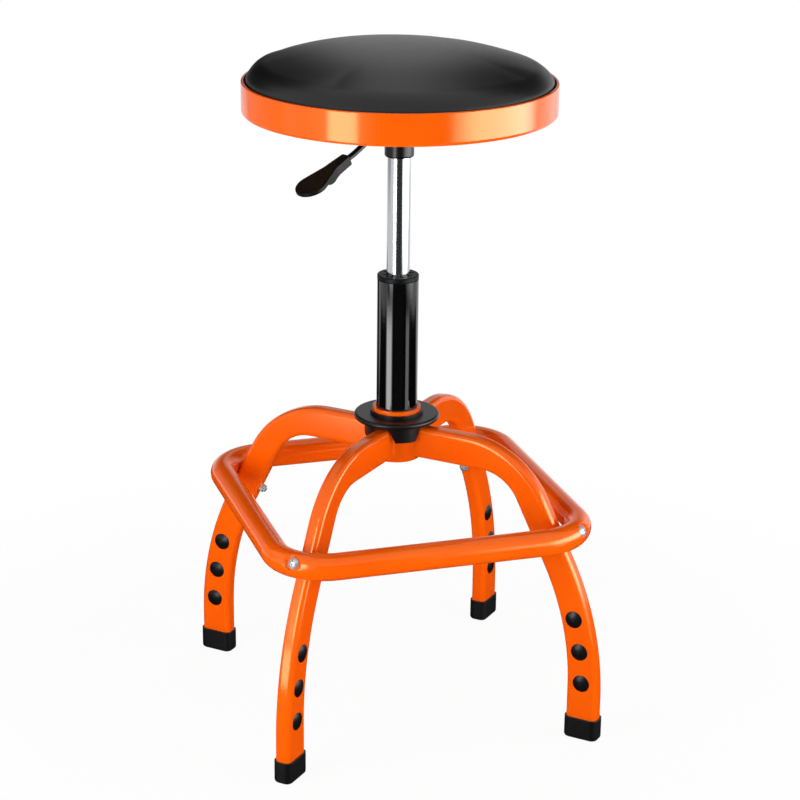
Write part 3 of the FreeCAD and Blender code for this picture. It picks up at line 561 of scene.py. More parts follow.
FINISHES: dict[Slot, Finish] = {
    # A deep, full orange under a clear gloss, with warm highlights along every bend.
    Slot.ORANGE_ENAMEL: StovedEnamel(
        "orange enamel, sprayed and stoved", "#f45a02", "#fa6e0a", (0.11, 0.18), 0.8,
        gloss=0.62, gloss_tint="#ffe2a0", clear_coat=0.03,
    ),
    # Almost no colour of its own: black, with narrow bright stripes down a tube.
    Slot.BLACK_ENAMEL: StovedEnamel(
        "black enamel, sprayed and stoved", "#030304", "#0b0b0d", (0.06, 0.1), 0.5,
        gloss=0.5, gloss_tint="#ffffff", clear_coat=0.15,
    ),
    # Soft black with a low, even sheen that the mould's grain breaks up, and painted shade on the grain.
    Slot.BLACK_PLASTIC: MouldedPolymer(
        "black polypropylene, moulded", "#121213", "#09090a", (0.26, 0.36), 0.5, ior=1.49, gloss=0.24
    ),
    # Deep black, duller than plastic, with blurred highlights on its rounded edges.
    # Its grain takes painted shade in a darker tone.
    Slot.RUBBER: MouldedPolymer(
        "black rubber, moulded", "#060607", "#030304", (0.36, 0.5), 0.8,
        ior=1.5, gloss=0.42, grain_depth_mm=0.05,
    ),
    # A cool mirror, which shows the studio as bright and dark stripes.
    Slot.CHROME: BareMetal(
        "chrome plate, polished", "#c4c7c9", "#bcc0c3", (0.12, 0.17), 0.3, (30.0, 30.0, 60.0), 0.002
    ),
    # A pale, bluish grey film that clouds the metal under it.
    Slot.ZINC_STEEL: BareMetal(
        "zinc plate, blue passivated", "#c9ced3", "#a4aab2", (0.3, 0.45), 0.3, (1.6, 1.6, 1.6), 0.015,
        metallic=0.65,
    ),
    # Bright grey, with fine grinding lines that stretch its highlights.
    Slot.BRIGHT_STEEL: BareMetal(
        "bearing steel, ground", "#b4b6b9", "#9a9ca0", (0.16, 0.3), 0.2, (8.0, 8.0, 0.6), 0.006
    ),
    # Pale satin grey, with the rings that a turning tool leaves.
    Slot.CAST_ALUMINIUM: BareMetal(
        "aluminium, turned", "#c9cbcd", "#aeb1b4", (0.28, 0.42), 0.3, (8.0, 8.0, 0.8), 0.01
    ),
    # Warm yellow, with bright turned rings.
    Slot.BRASS: BareMetal(
        "brass, turned", "#d0aa5c", "#b08a40", (0.2, 0.34), 0.2, (6.0, 6.0, 0.6), 0.008
    ),
    # Milky cream, with a dull and even sheen, and painted shade on its grain.
    Slot.NYLON: MouldedPolymer(
        "natural nylon, moulded", "#d9d3bd", "#c9c2a8", (0.4, 0.5), 0.2, ior=1.53
    ),
    # Dull honey, with darker streaks along the grain.
    Slot.PLYWOOD: SawnPlywood("birch plywood, sawn", "#bd9966", "#94703f", (0.6, 0.75), 0.3),
    # Black, with a broad satin sheen over the crown, and painted shade in the grain's furrows.
    Slot.VINYL: EmbossedVinyl(
        "black vinyl leathercloth, embossed", "#070708", "#0d0d0e", (0.31, 0.41), 0.3
    ),
}
# A weld bead runs out flush with the tubes, so it has no edge to round off.
WELD_ENAMEL = replace(
    FINISHES[Slot.ORANGE_ENAMEL], title="orange enamel, sprayed over welds and stoved", edge_mm=0.0
)
# Glass-filled nylon drinks up the light: deep black with only a faint sheen on its edges.
# Its grain takes painted shade in a darker tone too.
GRIP_NYLON = replace(
    FINISHES[Slot.BLACK_PLASTIC], title="black glass-filled nylon, moulded",
    colour="#0a0a0b", second="#060607", roughness=(0.36, 0.48), gloss=0.12,
)
# Powder melts to a duller, softer skin than sprayed enamel, so it shows broad, faint highlights.
POWDER_COAT = replace(
    FINISHES[Slot.BLACK_ENAMEL], title="black powder coat, baked",
    roughness=(0.3, 0.42), gloss=0.28, clear_coat=0.0,
)


class Wardrobe:
    """Materials of the finishes, each made when it is first asked for."""

    def __init__(self) -> None:
        """Starts with no material made."""
        self.made: dict[Finish, bpy.types.Material] = {}
        subparts = frame["record"]["subparts"]
        self.slots = {part["node"]: Slot(part["material_slot"]) for part in subparts}

    def dress(self, piece: bpy.types.Object, finish: Finish) -> None:
        """Gives a piece the material of a finish, and nothing else.

        Args:
            piece: Mesh object to dress.
            finish: Finish that it gets.
        """
        if finish not in self.made:
            self.made[finish] = finish.material()
        piece.data.materials.clear()
        piece.data.materials.append(self.made[finish])

    def dress_node(self, node: str, finish: Finish | None = None) -> None:
        """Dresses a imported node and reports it.

        Args:
            node: Name of the node.
            finish: Its finish, if it isn't the plain one of its slot.
        """
        chosen = finish or FINISHES[self.slots[node]]
        self.dress(frame["nodes"][node], chosen)
        log.info("dressed %s in %s", node, chosen.title)

    def finish_piece(
        self, piece: bpy.types.Object, slot: Slot, body: Body, finish: Finish | None = None
    ) -> None:
        """Dresses a new piece, seats it on its body and reports it.

        Args:
            piece: Piece that was made here.
            slot: Slot that it belongs to.
            body: Body that it moves with.
            finish: Its finish, if it isn't the plain one of its slot.
        """
        self.dress(piece, finish or FINISHES[slot])
        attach(piece, body.value)
        log.info("made %s, %d vertices, on %s", piece.name, len(piece.data.vertices), body.value)


@dataclass
class LegBase:
    """Legs, hub, collar and footrest, with the weld beads that hold the legs to the hub.

    Attributes:
        leg_width: Width of a leg's tube.
        leg_depth: Depth of a leg's arm.
        leg_corner: Radius of the tube's corners.
        arm_top: Height of the arms' upper faces.
        bead: Leg length of a weld bead at the sides of an arm.
        low_bead: Leg length of a weld bead under an arm.
        ripple: Height of the ripples along a bead.
        ripple_pitch: Spacing of the ripples.
        bead_across: Points across a bead.
        bead_step: Spacing of points along a bead.
    """

    leg_width: float = 20.0 * MM
    leg_depth: float = 40.0 * MM
    leg_corner: float = 6.5 * MM
    arm_top: float = 364.5 * MM
    bead: float = 6.0 * MM
    low_bead: float = 3.4 * MM
    ripple: float = 0.12 * MM
    ripple_pitch: float = 2.4 * MM
    bead_across: int = 7
    bead_step: float = 0.5 * MM

    def nodes(self) -> list[str]:
        """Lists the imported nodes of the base.

        Returns:
            Their names.
        """
        names = ["hub_tube", "hub_collar", "footrest_ring", "footrest_bolts", "footrest_nuts"]
        for prefix in ("leg_", "leg_plugs_", "foot_cap_"):
            names += [prefix + leg for leg in LEG_NAMES]
        return names

    def cope_path(self) -> list[tuple[Vector, Vector]]:
        """Walks round an arm's section, down one side, under it and up the other.

        Returns:
            Points across and up, from the arm's middle and the floor, each with its outward direction.
        """
        half = self.leg_width / 2
        corner = self.leg_corner
        top = self.arm_top - corner
        low = self.arm_top - self.leg_depth + corner
        flat = half - corner
        side_steps = int((top - low) / self.bead_step)
        turn_steps = int(math.pi / 2 * corner / self.bead_step)
        flat_steps = int(2 * flat / self.bead_step)
        path = []
        for i in range(side_steps):
            path.append((Vector((half, top - (top - low) * i / side_steps)), Vector((1, 0))))
        for i in range(turn_steps):
            angle = math.pi / 2 * i / turn_steps
            out = Vector((math.cos(angle), -math.sin(angle)))
            path.append((Vector((flat, low)) + out * corner, out))
        for i in range(flat_steps + 1):
            path.append((Vector((flat - 2 * flat * i / flat_steps, low - corner)), Vector((0, -1))))
        side = reversed(path[:-flat_steps - 1])
        return path + [(Vector((-p.x, p.y)), Vector((-d.x, d.y))) for p, d in side]

    def weld_points(self, hub_r: float) -> list[list[Vector]]:
        """Cross-sections of the bead between the hub and the arm on the +X side.

        Args:
            hub_r: Radius of the hub.

        Returns:
            Rows of points: a concave face from the arm to the hub, and a root behind it.
        """
        rows = []
        for i, (point, out) in enumerate(self.cope_path()):
            wave = self.ripple * abs(math.sin(math.pi * i * self.bead_step / self.ripple_pitch))
            bead = self.bead + (self.low_bead - self.bead) * max(-out.y, 0.0)
            row = []
            for k in range(self.bead_across):
                angle = math.pi / 2 * k / (self.bead_across - 1)
                along = bead * (1 - math.sin(angle)) + wave * math.cos(2 * angle - math.pi / 2)
                away = bead * (1 - math.cos(angle)) + wave * math.cos(2 * angle - math.pi / 2)
                across = point + out * away
                reach = math.sqrt(max(hub_r ** 2 - across.x ** 2, 0.0))
                row.append(Vector((reach + along, across.x, across.y)))
            root = point - out * self.ripple
            reach = math.sqrt(hub_r ** 2 - root.x ** 2)
            row.append(Vector((reach - self.ripple, root.x, root.y)))
            rows.append(row)
        return rows

    def build_welds(self) -> bpy.types.Object:
        """Makes the four weld beads as one piece.

        Returns:
            The beads' object.
        """
        hub_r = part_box("hub_tube")[1].x
        rows = self.weld_points(hub_r)
        columns = len(rows[0])
        points = []
        faces = []
        for quarter in range(4):
            turn = Matrix.Rotation(math.radians(45 + 90 * quarter), 3, "Z")
            start = len(points)
            for row in rows:
                points += [turn @ point for point in row]
            faces += strip_faces(len(rows), columns, start)
            last = start + (len(rows) - 1) * columns
            faces.append(tuple(range(start, start + columns)))
            faces.append(tuple(range(last, last + columns)))
        return mesh_object("hub_welds", points, faces)

    def build(self, wardrobe: Wardrobe) -> None:
        """Dresses the base and adds its welds.

        Args:
            wardrobe: Materials of the finishes.
        """
        for node in self.nodes():
            wardrobe.dress_node(node)
        wardrobe.finish_piece(self.build_welds(), Slot.ORANGE_ENAMEL, Body.BASE, WELD_ENAMEL)


@dataclass
class GasLift:
    """Column, bearing, piston rod and gas cylinder.

    Attributes:
        bush: Node of the bush in the column's mouth.
        nodes: Nodes in the plain finishes of their slots.
    """

    bush: str = "guide_bush"
    nodes: tuple[str, ...] = (
        "column_tube", "bearing_lower_race", "bearing_balls", "bearing_cage",
        "bearing_upper_race", "piston_rod", "rod_clip", "rubber_buffer", "piston", "gas_cylinder",
        "cylinder_guide", "valve_body", "valve_button",
    )

    def build(self, wardrobe: Wardrobe) -> None:
        """Dresses the lift.

        Args:
            wardrobe: Materials of the finishes.
        """
        wardrobe.dress_node(self.bush, GRIP_NYLON)
        for node in self.nodes:
            wardrobe.dress_node(node)


@dataclass
class ReleaseLever:
    """Taper socket, mounting plate and release lever under the seat.

    Attributes:
        coated: Nodes in black powder coat.
        plain: Nodes in the plain finishes of their slots.
        handle: Node of the moulded handle.
    """

    coated: tuple[str, ...] = ("taper_socket", "mount_plate", "lever_bracket", "lever_rod")
    plain: tuple[str, ...] = ("seat_screws", "tee_nuts", "pivot_pin")
    handle: str = "lever_handle"

    def build(self, wardrobe: Wardrobe) -> None:
        """Dresses the plate and the lever.

        Args:
            wardrobe: Materials of the finishes.
        """
        for node in self.coated:
            wardrobe.dress_node(node, POWDER_COAT)
        for node in self.plain:
            wardrobe.dress_node(node)
        wardrobe.dress_node(self.handle, GRIP_NYLON)


@dataclass
class PaddedSeat:
    """Seat ring, board and padded vinyl cushion.

    Attributes:
        dome: Radius of the crown.
        shoulder: Radius of the shoulder between the crown and the roll.
        shoulder_turn: Slope at which the shoulder passes into the roll, degrees.
        roll: Radius of the rolled edge.
        ring_inset: From the ring's outside to the widest place of the roll.
        tuck: Angle below level at which the roll turns in, degrees.
        slack: How much lower the crown lies before it swells.
        foot: Height above the board at which the cushion meets the hem.
        grid: Quads across the crown.
        roll_rows: Rows of quads down the roll.
        pucker: Depth of the gathers in the tuck.
        puckers: Gathers round the seat.
        pucker_waves: Waves that make up the gathers.
        pucker_spread: How far the count of gathers differs from wave to wave.
        pucker_reach: Height over which the gathers fade, in radii of the roll.
        pucker_draw: How far the vinyl is drawn in on the whole, as a share of the depth.
        pucker_seed: Seed of the waves.
        settled: How far the padding has settled below its height when new.
        sag: How much lower the side that has been sat on most lies.
        sag_heading: Direction of that side, degrees from X.
        swell_frames: Frames of the simulation.
        pressure: Air pressure that swells the cover.
        quality: Steps of the simulation in a frame.
        stretch: Stiffness of the cover against stretching and squeezing.
        bending: Stiffness of the cover against bending.
        taut_rounds: Rounds of evening out that stretch the cover.
    """

    dome: float = 583.0 * MM
    shoulder: float = 29.0 * MM
    shoulder_turn: float = 60.0
    roll: float = 14.0 * MM
    ring_inset: float = 5.0 * MM
    tuck: float = 35.0
    slack: float = 4.0 * MM
    foot: float = COVER_FOOT
    grid: int = 64
    roll_rows: int = 18
    pucker: float = 0.35 * MM
    puckers: int = 84
    pucker_waves: int = 5
    pucker_spread: int = 30
    pucker_reach: float = 1.6
    pucker_draw: float = 0.4
    pucker_seed: int = 7
    settled: float = 1.3 * MM
    sag: float = 1.6 * MM
    sag_heading: float = -17.0
    swell_frames: int = 20
    pressure: float = 4.0
    quality: int = 6
    stretch: float = 40.0
    bending: float = 2.0
    taut_rounds: int = 60

    def __post_init__(self) -> None:
        """Reads the places of the ring, board and crown from the frame."""
        self.ring_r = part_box("seat_ring")[1].x
        self.board_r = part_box("seat_board")[1].x
        self.board_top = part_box("seat_board")[1].z
        self.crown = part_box("seat_cover")[1].z - self.settled
        self.turn = math.radians(self.shoulder_turn)
        roll_r = self.ring_r - self.ring_inset - self.roll
        shoulder_r = roll_r - (self.shoulder - self.roll) * math.sin(self.turn)
        self.dome_slope = math.asin(shoulder_r / (self.dome - self.shoulder))
        self.dome_z = self.crown - self.dome
        self.dome_edge = self.dome * math.sin(self.dome_slope)
        shoulder_z = self.dome_z + (self.dome - self.shoulder) * math.cos(self.dome_slope)
        roll_z = shoulder_z + (self.shoulder - self.roll) * math.cos(self.turn)
        self.shoulder_centre = Vector((shoulder_r, shoulder_z))
        self.roll_centre = Vector((roll_r, roll_z))

    def crown_points(self) -> list[Vector]:
        """Draws a square grid, pressed round to a disc and raised to the slack crown.

        Returns:
            The grid's points, row by row.
        """
        points = []
        for i in range(self.grid + 1):
            for j in range(self.grid + 1):
                u = 2 * i / self.grid - 1
                v = 2 * j / self.grid - 1
                reach = max(abs(u), abs(v))
                if reach == 0:
                    x = y = 0.0
                elif abs(u) >= abs(v):
                    angle = math.pi / 4 * v / u
                    x = u * math.cos(angle)
                    y = u * math.sin(angle)
                else:
                    angle = math.pi / 4 * u / v
                    x = v * math.sin(angle)
                    y = v * math.cos(angle)
                r = reach * self.dome_edge
                z = self.dome_z + math.sqrt(self.dome ** 2 - r ** 2) - self.slack * (1 - reach ** 2)
                points.append(Vector((x * self.dome_edge, y * self.dome_edge, z)))
        return points

    def rim_numbers(self) -> list[int]:
        """Finds the grid's outermost vertices.

        Returns:
            Their numbers, in order round the disc.
        """
        n = self.grid
        row = n + 1
        lower = [i * row for i in range(n)]
        right = [n * row + j for j in range(n)]
        upper = [i * row + n for i in range(n, 0, -1)]
        left = list(range(n, 0, -1))
        return lower + right + upper + left

    def side_profile(self) -> Profile:
        """Runs from the crown's edge over the shoulder, round the roll and down to the board.

        Returns:
            Radius and height of each row.
        """
        profile = []
        last_slope = math.pi / 2 + math.radians(self.tuck)
        for k in range(1, self.roll_rows + 1):
            slope = self.dome_slope + (last_slope - self.dome_slope) * k / self.roll_rows
            out = Vector((math.sin(slope), math.cos(slope)))
            if slope < self.turn:
                profile.append(tuple(self.shoulder_centre + out * self.shoulder))
            else:
                profile.append(tuple(self.roll_centre + out * self.roll))
        foot_r = self.board_r
        neck_r, neck_z = profile[-1]
        foot_z = self.board_top + self.foot
        profile.append(((neck_r + foot_r) / 2, (neck_z + foot_z) / 2))
        profile.append((foot_r, foot_z))
        profile.append((foot_r, self.board_top))
        return profile

    def build_cushion(self) -> bpy.types.Object:
        """Makes the cushion's closed form before it swells.

        Returns:
            The cushion's object.
        """
        points = self.crown_points()
        row = self.grid + 1
        faces = strip_faces(row, row, closed=False)
        ring = self.rim_numbers()
        headings = [math.atan2(points[k].y, points[k].x) for k in ring]
        for r, z in self.side_profile():
            first = len(points)
            points += [Vector((r * math.cos(a), r * math.sin(a), z)) for a in headings]
            lower = list(range(first, first + len(headings)))
            for k in range(len(headings)):
                after = (k + 1) % len(headings)
                faces.append((ring[k], ring[after], lower[after], lower[k]))
            ring = lower
        faces.append(tuple(ring))
        return mesh_object("seat_cushion", points, faces)

    def swell(self, cushion: bpy.types.Object) -> None:
        """Blows the cover up like a stuffed pad, and keeps the crown at its measured height.

        Args:
            cushion: Closed form of the cushion, which is changed in place.
        """
        pinned = cushion.vertex_groups.new(name="tucked")
        turn_z = self.roll_centre.y
        for vertex in cushion.data.vertices:
            depth = (turn_z + self.roll / 2 - vertex.co.z) / self.roll
            pinned.add([vertex.index], clamp(depth), "REPLACE")
        cloth = cushion.modifiers.new("swell", "CLOTH")
        cloth.settings.use_pressure = True
        cloth.settings.uniform_pressure_force = self.pressure
        cloth.settings.effector_weights.gravity = 0.0
        cloth.settings.vertex_group_mass = pinned.name
        cloth.settings.quality = self.quality
        cloth.settings.tension_stiffness = self.stretch
        cloth.settings.compression_stiffness = self.stretch
        cloth.settings.bending_stiffness = self.bending
        cloth.point_cache.frame_end = self.swell_frames
        scene = bpy.context.scene
        for frame_number in range(1, self.swell_frames + 1):
            scene.frame_set(frame_number)
        swollen = cushion.evaluated_get(bpy.context.evaluated_depsgraph_get())
        both = zip(cushion.data.vertices, swollen.data.vertices)
        moves = [after.co - before.co for before, after in both]
        cushion.modifiers.remove(cloth)
        scene.frame_set(1)
        moves = self.pulled_taut(cushion, moves)
        crown_move = max(move.z for move in moves)
        share = self.slack / max(crown_move, self.slack / 10)
        for vertex, move in zip(cushion.data.vertices, moves):
            step = move * share
            if step.length > self.slack:
                step = step.normalized() * self.slack
            vertex.co += step
        log.info("cushion swelled by %.1f mm, kept at %.1f mm", crown_move / MM, self.slack / MM)

    def pulled_taut(self, cushion: bpy.types.Object, moves: list[Vector]) -> list[Vector]:
        """Takes the creases out of the swelling, as stretching the cover does.

        Args:
            cushion: Closed form of the cushion.
            moves: How far each of its vertices moved.

        Returns:
            The moves, each evened out with those round it.
        """
        beside: list[list[int]] = [[] for _ in moves]
        for edge in cushion.data.edges:
            first, second = edge.vertices
            beside[first].append(second)
            beside[second].append(first)
        for _ in range(self.taut_rounds):
            moves = [
                (move + sum((moves[k] for k in near), Vector()) / len(near)) / 2
                for move, near in zip(moves, beside)
            ]
        return moves

    def settle(self, cushion: bpy.types.Object) -> None:
        """Leans the crown a little to one side, as a used pad does, and leaves the tuck where it is.

        Args:
            cushion: The cushion, which is changed in place.
        """
        heading = math.radians(self.sag_heading)
        side = Vector((math.cos(heading), math.sin(heading), 0.0))
        for vertex in cushion.data.vertices:
            above = clamp((vertex.co.z - self.roll_centre.y) / self.roll)
            vertex.co.z -= self.sag * above * vertex.co.dot(side) / self.dome_edge

    def gather(self, cushion: bpy.types.Object) -> None:
        """Puckers the vinyl a little where it is drawn in under the roll.

        Args:
            cushion: The cushion, which is changed in place.
        """
        draw = random.Random(self.pucker_seed)
        waves = []
        for _ in range(self.pucker_waves):
            count = self.puckers + draw.randint(-self.pucker_spread, self.pucker_spread)
            waves.append((count, draw.uniform(0, 2 * math.pi)))
        low_z = self.roll_centre.y - self.roll
        for vertex in cushion.data.vertices:
            r = math.hypot(vertex.co.x, vertex.co.y)
            if r < self.dome_edge or vertex.co.z <= self.board_top + self.foot:
                continue
            fade = clamp(1 - (vertex.co.z - low_z) / (self.pucker_reach * self.roll)) ** 2
            heading = math.atan2(vertex.co.y, vertex.co.x)
            wave = sum(math.cos(count * heading + phase) for count, phase in waves) / len(waves)
            shrink = 1 + self.pucker * fade * (wave - self.pucker_draw) / r
            vertex.co.x *= shrink
            vertex.co.y *= shrink

    def build(self, wardrobe: Wardrobe) -> None:
        """Dresses the ring and board, and makes the cushion.

        Args:
            wardrobe: Materials of the finishes.
        """
        for node in ("seat_ring", "seat_board"):
            wardrobe.dress_node(node)
        cushion = self.build_cushion()
        self.swell(cushion)
        self.settle(cushion)
        self.gather(cushion)
        smooth = cushion.modifiers.new("smooth", "SUBSURF")
        smooth.levels = 1
        smooth.render_levels = 1
        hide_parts("seat_cover", "seat_foam")
        wardrobe.finish_piece(cushion, Slot.VINYL, Body.SEAT)


@dataclass
class StapledHem:
    """Hem of the seat's cover: down the board's edge, in under it, and stapled there.

    Attributes:
        cover: Thickness of the vinyl.
        clearance: How much thinner it is drawn, to stay clear of the board.
        foot: Height above the board at which the hem meets the cushion.
        width: Width of the hem under the board.
        edge: Radius of the vinyl round the board's lower edge.
        edge_rows: Rows of quads round that edge.
        rows: Rows of quads under the board.
        columns: Columns of quads between two staples.
        fold: Height of the tallest fold between two staples.
        fold_range: Heights of the folds, as shares of the tallest.
        ripple: Share of a fold that is a finer ripple.
        ripples: Ripples between two staples.
        trim: How far the cut end strays from its circle.
        hem_seed: Seed of the folds.
        staples: Staples round the hem.
        staple_length: Length of a staple's bar.
        staple_wire: Thickness of its wire.
        staple_edge: Radius of its edges.
        staple_place: Where it sits across the hem, as a share of the width.
        staple_shake: How unevenly the staples are shot, as a share of their spacing.
        staple_seed: Seed of the staples' places.
    """

    cover: float = 1.2 * MM
    clearance: float = 0.12 * MM
    foot: float = COVER_FOOT
    width: float = 28.0 * MM
    edge: float = 3.2 * MM
    edge_rows: int = 5
    rows: int = 12
    columns: int = 12
    fold: float = 1.1 * MM
    fold_range: tuple[float, float] = (0.4, 1.0)
    ripple: float = 0.4
    ripples: int = 3
    trim: float = 1.5 * MM
    hem_seed: int = 5
    staples: int = 46
    staple_length: float = 10.0 * MM
    staple_wire: float = 1.1 * MM
    staple_edge: float = 0.33 * MM
    staple_place: float = 0.62
    staple_shake: float = 0.12
    staple_seed: int = 11

    def __post_init__(self) -> None:
        """Reads the place of the board from the frame."""
        self.board_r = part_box("seat_board")[1].x
        self.board_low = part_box("seat_board")[0].z
        self.board_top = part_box("seat_board")[1].z

    def path(self) -> list[tuple[float, float, float]]:
        """Runs down the board's edge, round it and in under the board.

        Returns:
            Radius, height and looseness of each row, from 0 at the edge to 1 at the cut end.
        """
        side_r = self.board_r + self.cover
        low_z = self.board_low - self.cover
        path = [(side_r, self.board_top + self.foot, 0.0), (side_r, low_z + self.edge, 0.0)]
        for k in range(1, self.edge_rows + 1):
            angle = math.pi / 2 * k / self.edge_rows
            inward = self.edge * (1 - math.cos(angle))
            path.append((side_r - inward, low_z + self.edge * (1 - math.sin(angle)), 0.0))
        for k in range(1, self.rows + 1):
            loose = k / self.rows
            path.append((side_r - self.edge - (self.width - self.edge) * loose, low_z, loose))
        return path

    def build_hem(self) -> bpy.types.Object:
        """Makes the hem, gathered in folds between the staples.

        Returns:
            The hem's object.
        """
        draw = random.Random(self.hem_seed)
        heights = [draw.uniform(*self.fold_range) for _ in range(self.staples)]
        trims = [draw.uniform(-self.trim, self.trim) for _ in range(self.staples)]
        around = self.staples * self.columns
        path = self.path()
        points = []
        for r, z, loose in path:
            for column in range(around):
                gap = column // self.columns
                along = column % self.columns / self.columns
                between = math.sin(math.pi * along) ** 2
                ripple = 1 - self.ripple + self.ripple * math.cos(2 * math.pi * self.ripples * along)
                drop = self.fold * heights[gap] * between * ripple * loose ** 1.5
                reach = r + trims[gap] * between * loose ** 3
                heading = 2 * math.pi * column / around
                points.append(Vector((reach * math.cos(heading), reach * math.sin(heading), z - drop)))
        hem = mesh_object("cover_hem", points, strip_faces(len(path), around))
        thick = hem.modifiers.new("vinyl thickness", "SOLIDIFY")
        thick.thickness = self.cover - self.clearance
        thick.offset = -1.0
        return hem

    def staple_angles(self) -> list[float]:
        """Places the staples, a little uneven as they are shot by hand.

        Returns:
            Heading of each staple.
        """
        draw = random.Random(self.staple_seed)
        step = 2 * math.pi / self.staples
        shake = self.staple_shake
        return [step * (i + draw.uniform(-shake, shake)) for i in range(self.staples)]

    def build_staples(self) -> bpy.types.Object:
        """Makes the staples as one piece of small round-edged bars.

        Returns:
            The staples' object.
        """
        bar = Vector((self.staple_wire, self.staple_length, self.staple_wire))
        place_r = self.board_r - self.width * self.staple_place
        spot = Vector((place_r, 0, self.board_low - self.cover - self.staple_wire / 3))
        shape = bmesh.new()
        for heading in self.staple_angles():
            made = bmesh.ops.create_cube(shape, size=1.0)["verts"]
            bmesh.ops.scale(shape, vec=bar, verts=made)
            place = Matrix.Rotation(heading, 4, "Z") @ Matrix.Translation(spot)
            bmesh.ops.transform(shape, matrix=place, verts=made)
        edges = list(shape.edges)
        bmesh.ops.bevel(
            shape, geom=edges, offset=self.staple_edge, segments=2, affect="EDGES", profile=0.5
        )
        mesh = bpy.data.meshes.new("hem_staples")
        shape.to_mesh(mesh)
        shape.free()
        staples = bpy.data.objects.new("hem_staples", mesh)
        bpy.context.scene.collection.objects.link(staples)
        return staples

    def build(self, wardrobe: Wardrobe) -> None:
        """Makes the hem and its staples."""
        wardrobe.finish_piece(self.build_hem(), Slot.VINYL, Body.SEAT)
        wardrobe.finish_piece(self.build_staples(), Slot.ZINC_STEEL, Body.SEAT)


@dataclass(frozen=True)
class Card:
    """A flat studio card with feathered edges: a glowing softbox, or a flag that darkens reflections.

    Attributes:
        name: Name of the object.
        bearing: Direction from the stool, degrees to the right of the camera's side.
        distance: Distance of its middle from the stool's axis.
        middle: Height of its middle.
        width: Width.
        height: Height, or its length along the bearing where it lies flat.
        glow: Radiance of its middle, where 1 is white.
        tip: Degrees that it is tipped over to face down, or below 0 to face up.
        feather: Share of its half width and half height over which it fades.
        sight: Surfaces that it works on.
    """

    name: str
    bearing: float
    distance: float
    middle: float
    width: float
    height: float
    glow: float
    tip: float = 0.0
    feather: float = 0.5
    sight: Sight = Sight.ALL

    def material(self) -> bpy.types.Material:
        """Makes a glow, or black, that fades to nothing at the edges.

        Returns:
            The new material.
        """
        material = empty_material(self.name)
        tree = material.node_tree
        place = add_node(tree, "ShaderNodeTexCoord").outputs["Generated"]
        centred = add_node(
            tree, "ShaderNodeVectorMath",
            {0: place, 1: (2, 2, 2), 2: (-1, -1, -1)},
            operation="MULTIPLY_ADD",
        )
        size = add_node(tree, "ShaderNodeVectorMath", {0: centred.outputs[0]}, operation="ABSOLUTE")
        axes = add_node(tree, "ShaderNodeSeparateXYZ", {0: size.outputs[0]})
        fades = []
        for axis in ("X", "Y"):
            fades.append(add_node(
                tree, "ShaderNodeMapRange",
                {0: axes.outputs[axis], "From Min": 1.0, "From Max": 1.0 - self.feather},
                interpolation_type="SMOOTHSTEP",
            ).outputs[0])
        mask = add_node(tree, "ShaderNodeMath", {0: fades[0], 1: fades[1]}, operation="MULTIPLY")
        glow = add_node(tree, "ShaderNodeEmission", {"Strength": self.glow})
        clear = add_node(tree, "ShaderNodeBsdfTransparent")
        both = add_node(
            tree, "ShaderNodeMixShader", {0: mask.outputs[0], 1: clear.outputs[0], 2: glow.outputs[0]}
        )
        add_node(tree, "ShaderNodeOutputMaterial", {"Surface": both.outputs[0]})
        return material

    def build(self, towards_camera: Vector) -> bpy.types.Object:
        """Makes the card and turns it to the stool.

        Args:
            towards_camera: Level direction from the stool to the camera's side.

        Returns:
            The card's object.
        """
        outward = Matrix.Rotation(math.radians(self.bearing), 3, "Z") @ towards_camera
        tip = math.radians(self.tip)
        facing = -outward * math.cos(tip) - Vector((0, 0, 1)) * math.sin(tip)
        card = sheet_object(self.name, self.width, self.height)
        card.location = outward * self.distance + Vector((0, 0, self.middle))
        card.rotation_mode = "QUATERNION"
        sideways = Vector((-outward.y, outward.x, 0.0))
        turn = Matrix((sideways, facing.cross(sideways), facing)).transposed()
        card.rotation_quaternion = turn.to_quaternion()
        card.data.materials.append(self.material())
        card.visible_camera = False
        card.visible_shadow = False
        card.visible_diffuse = self.sight is not Sight.GLOSS
        card.visible_glossy = self.sight is not Sight.MATT
        return card


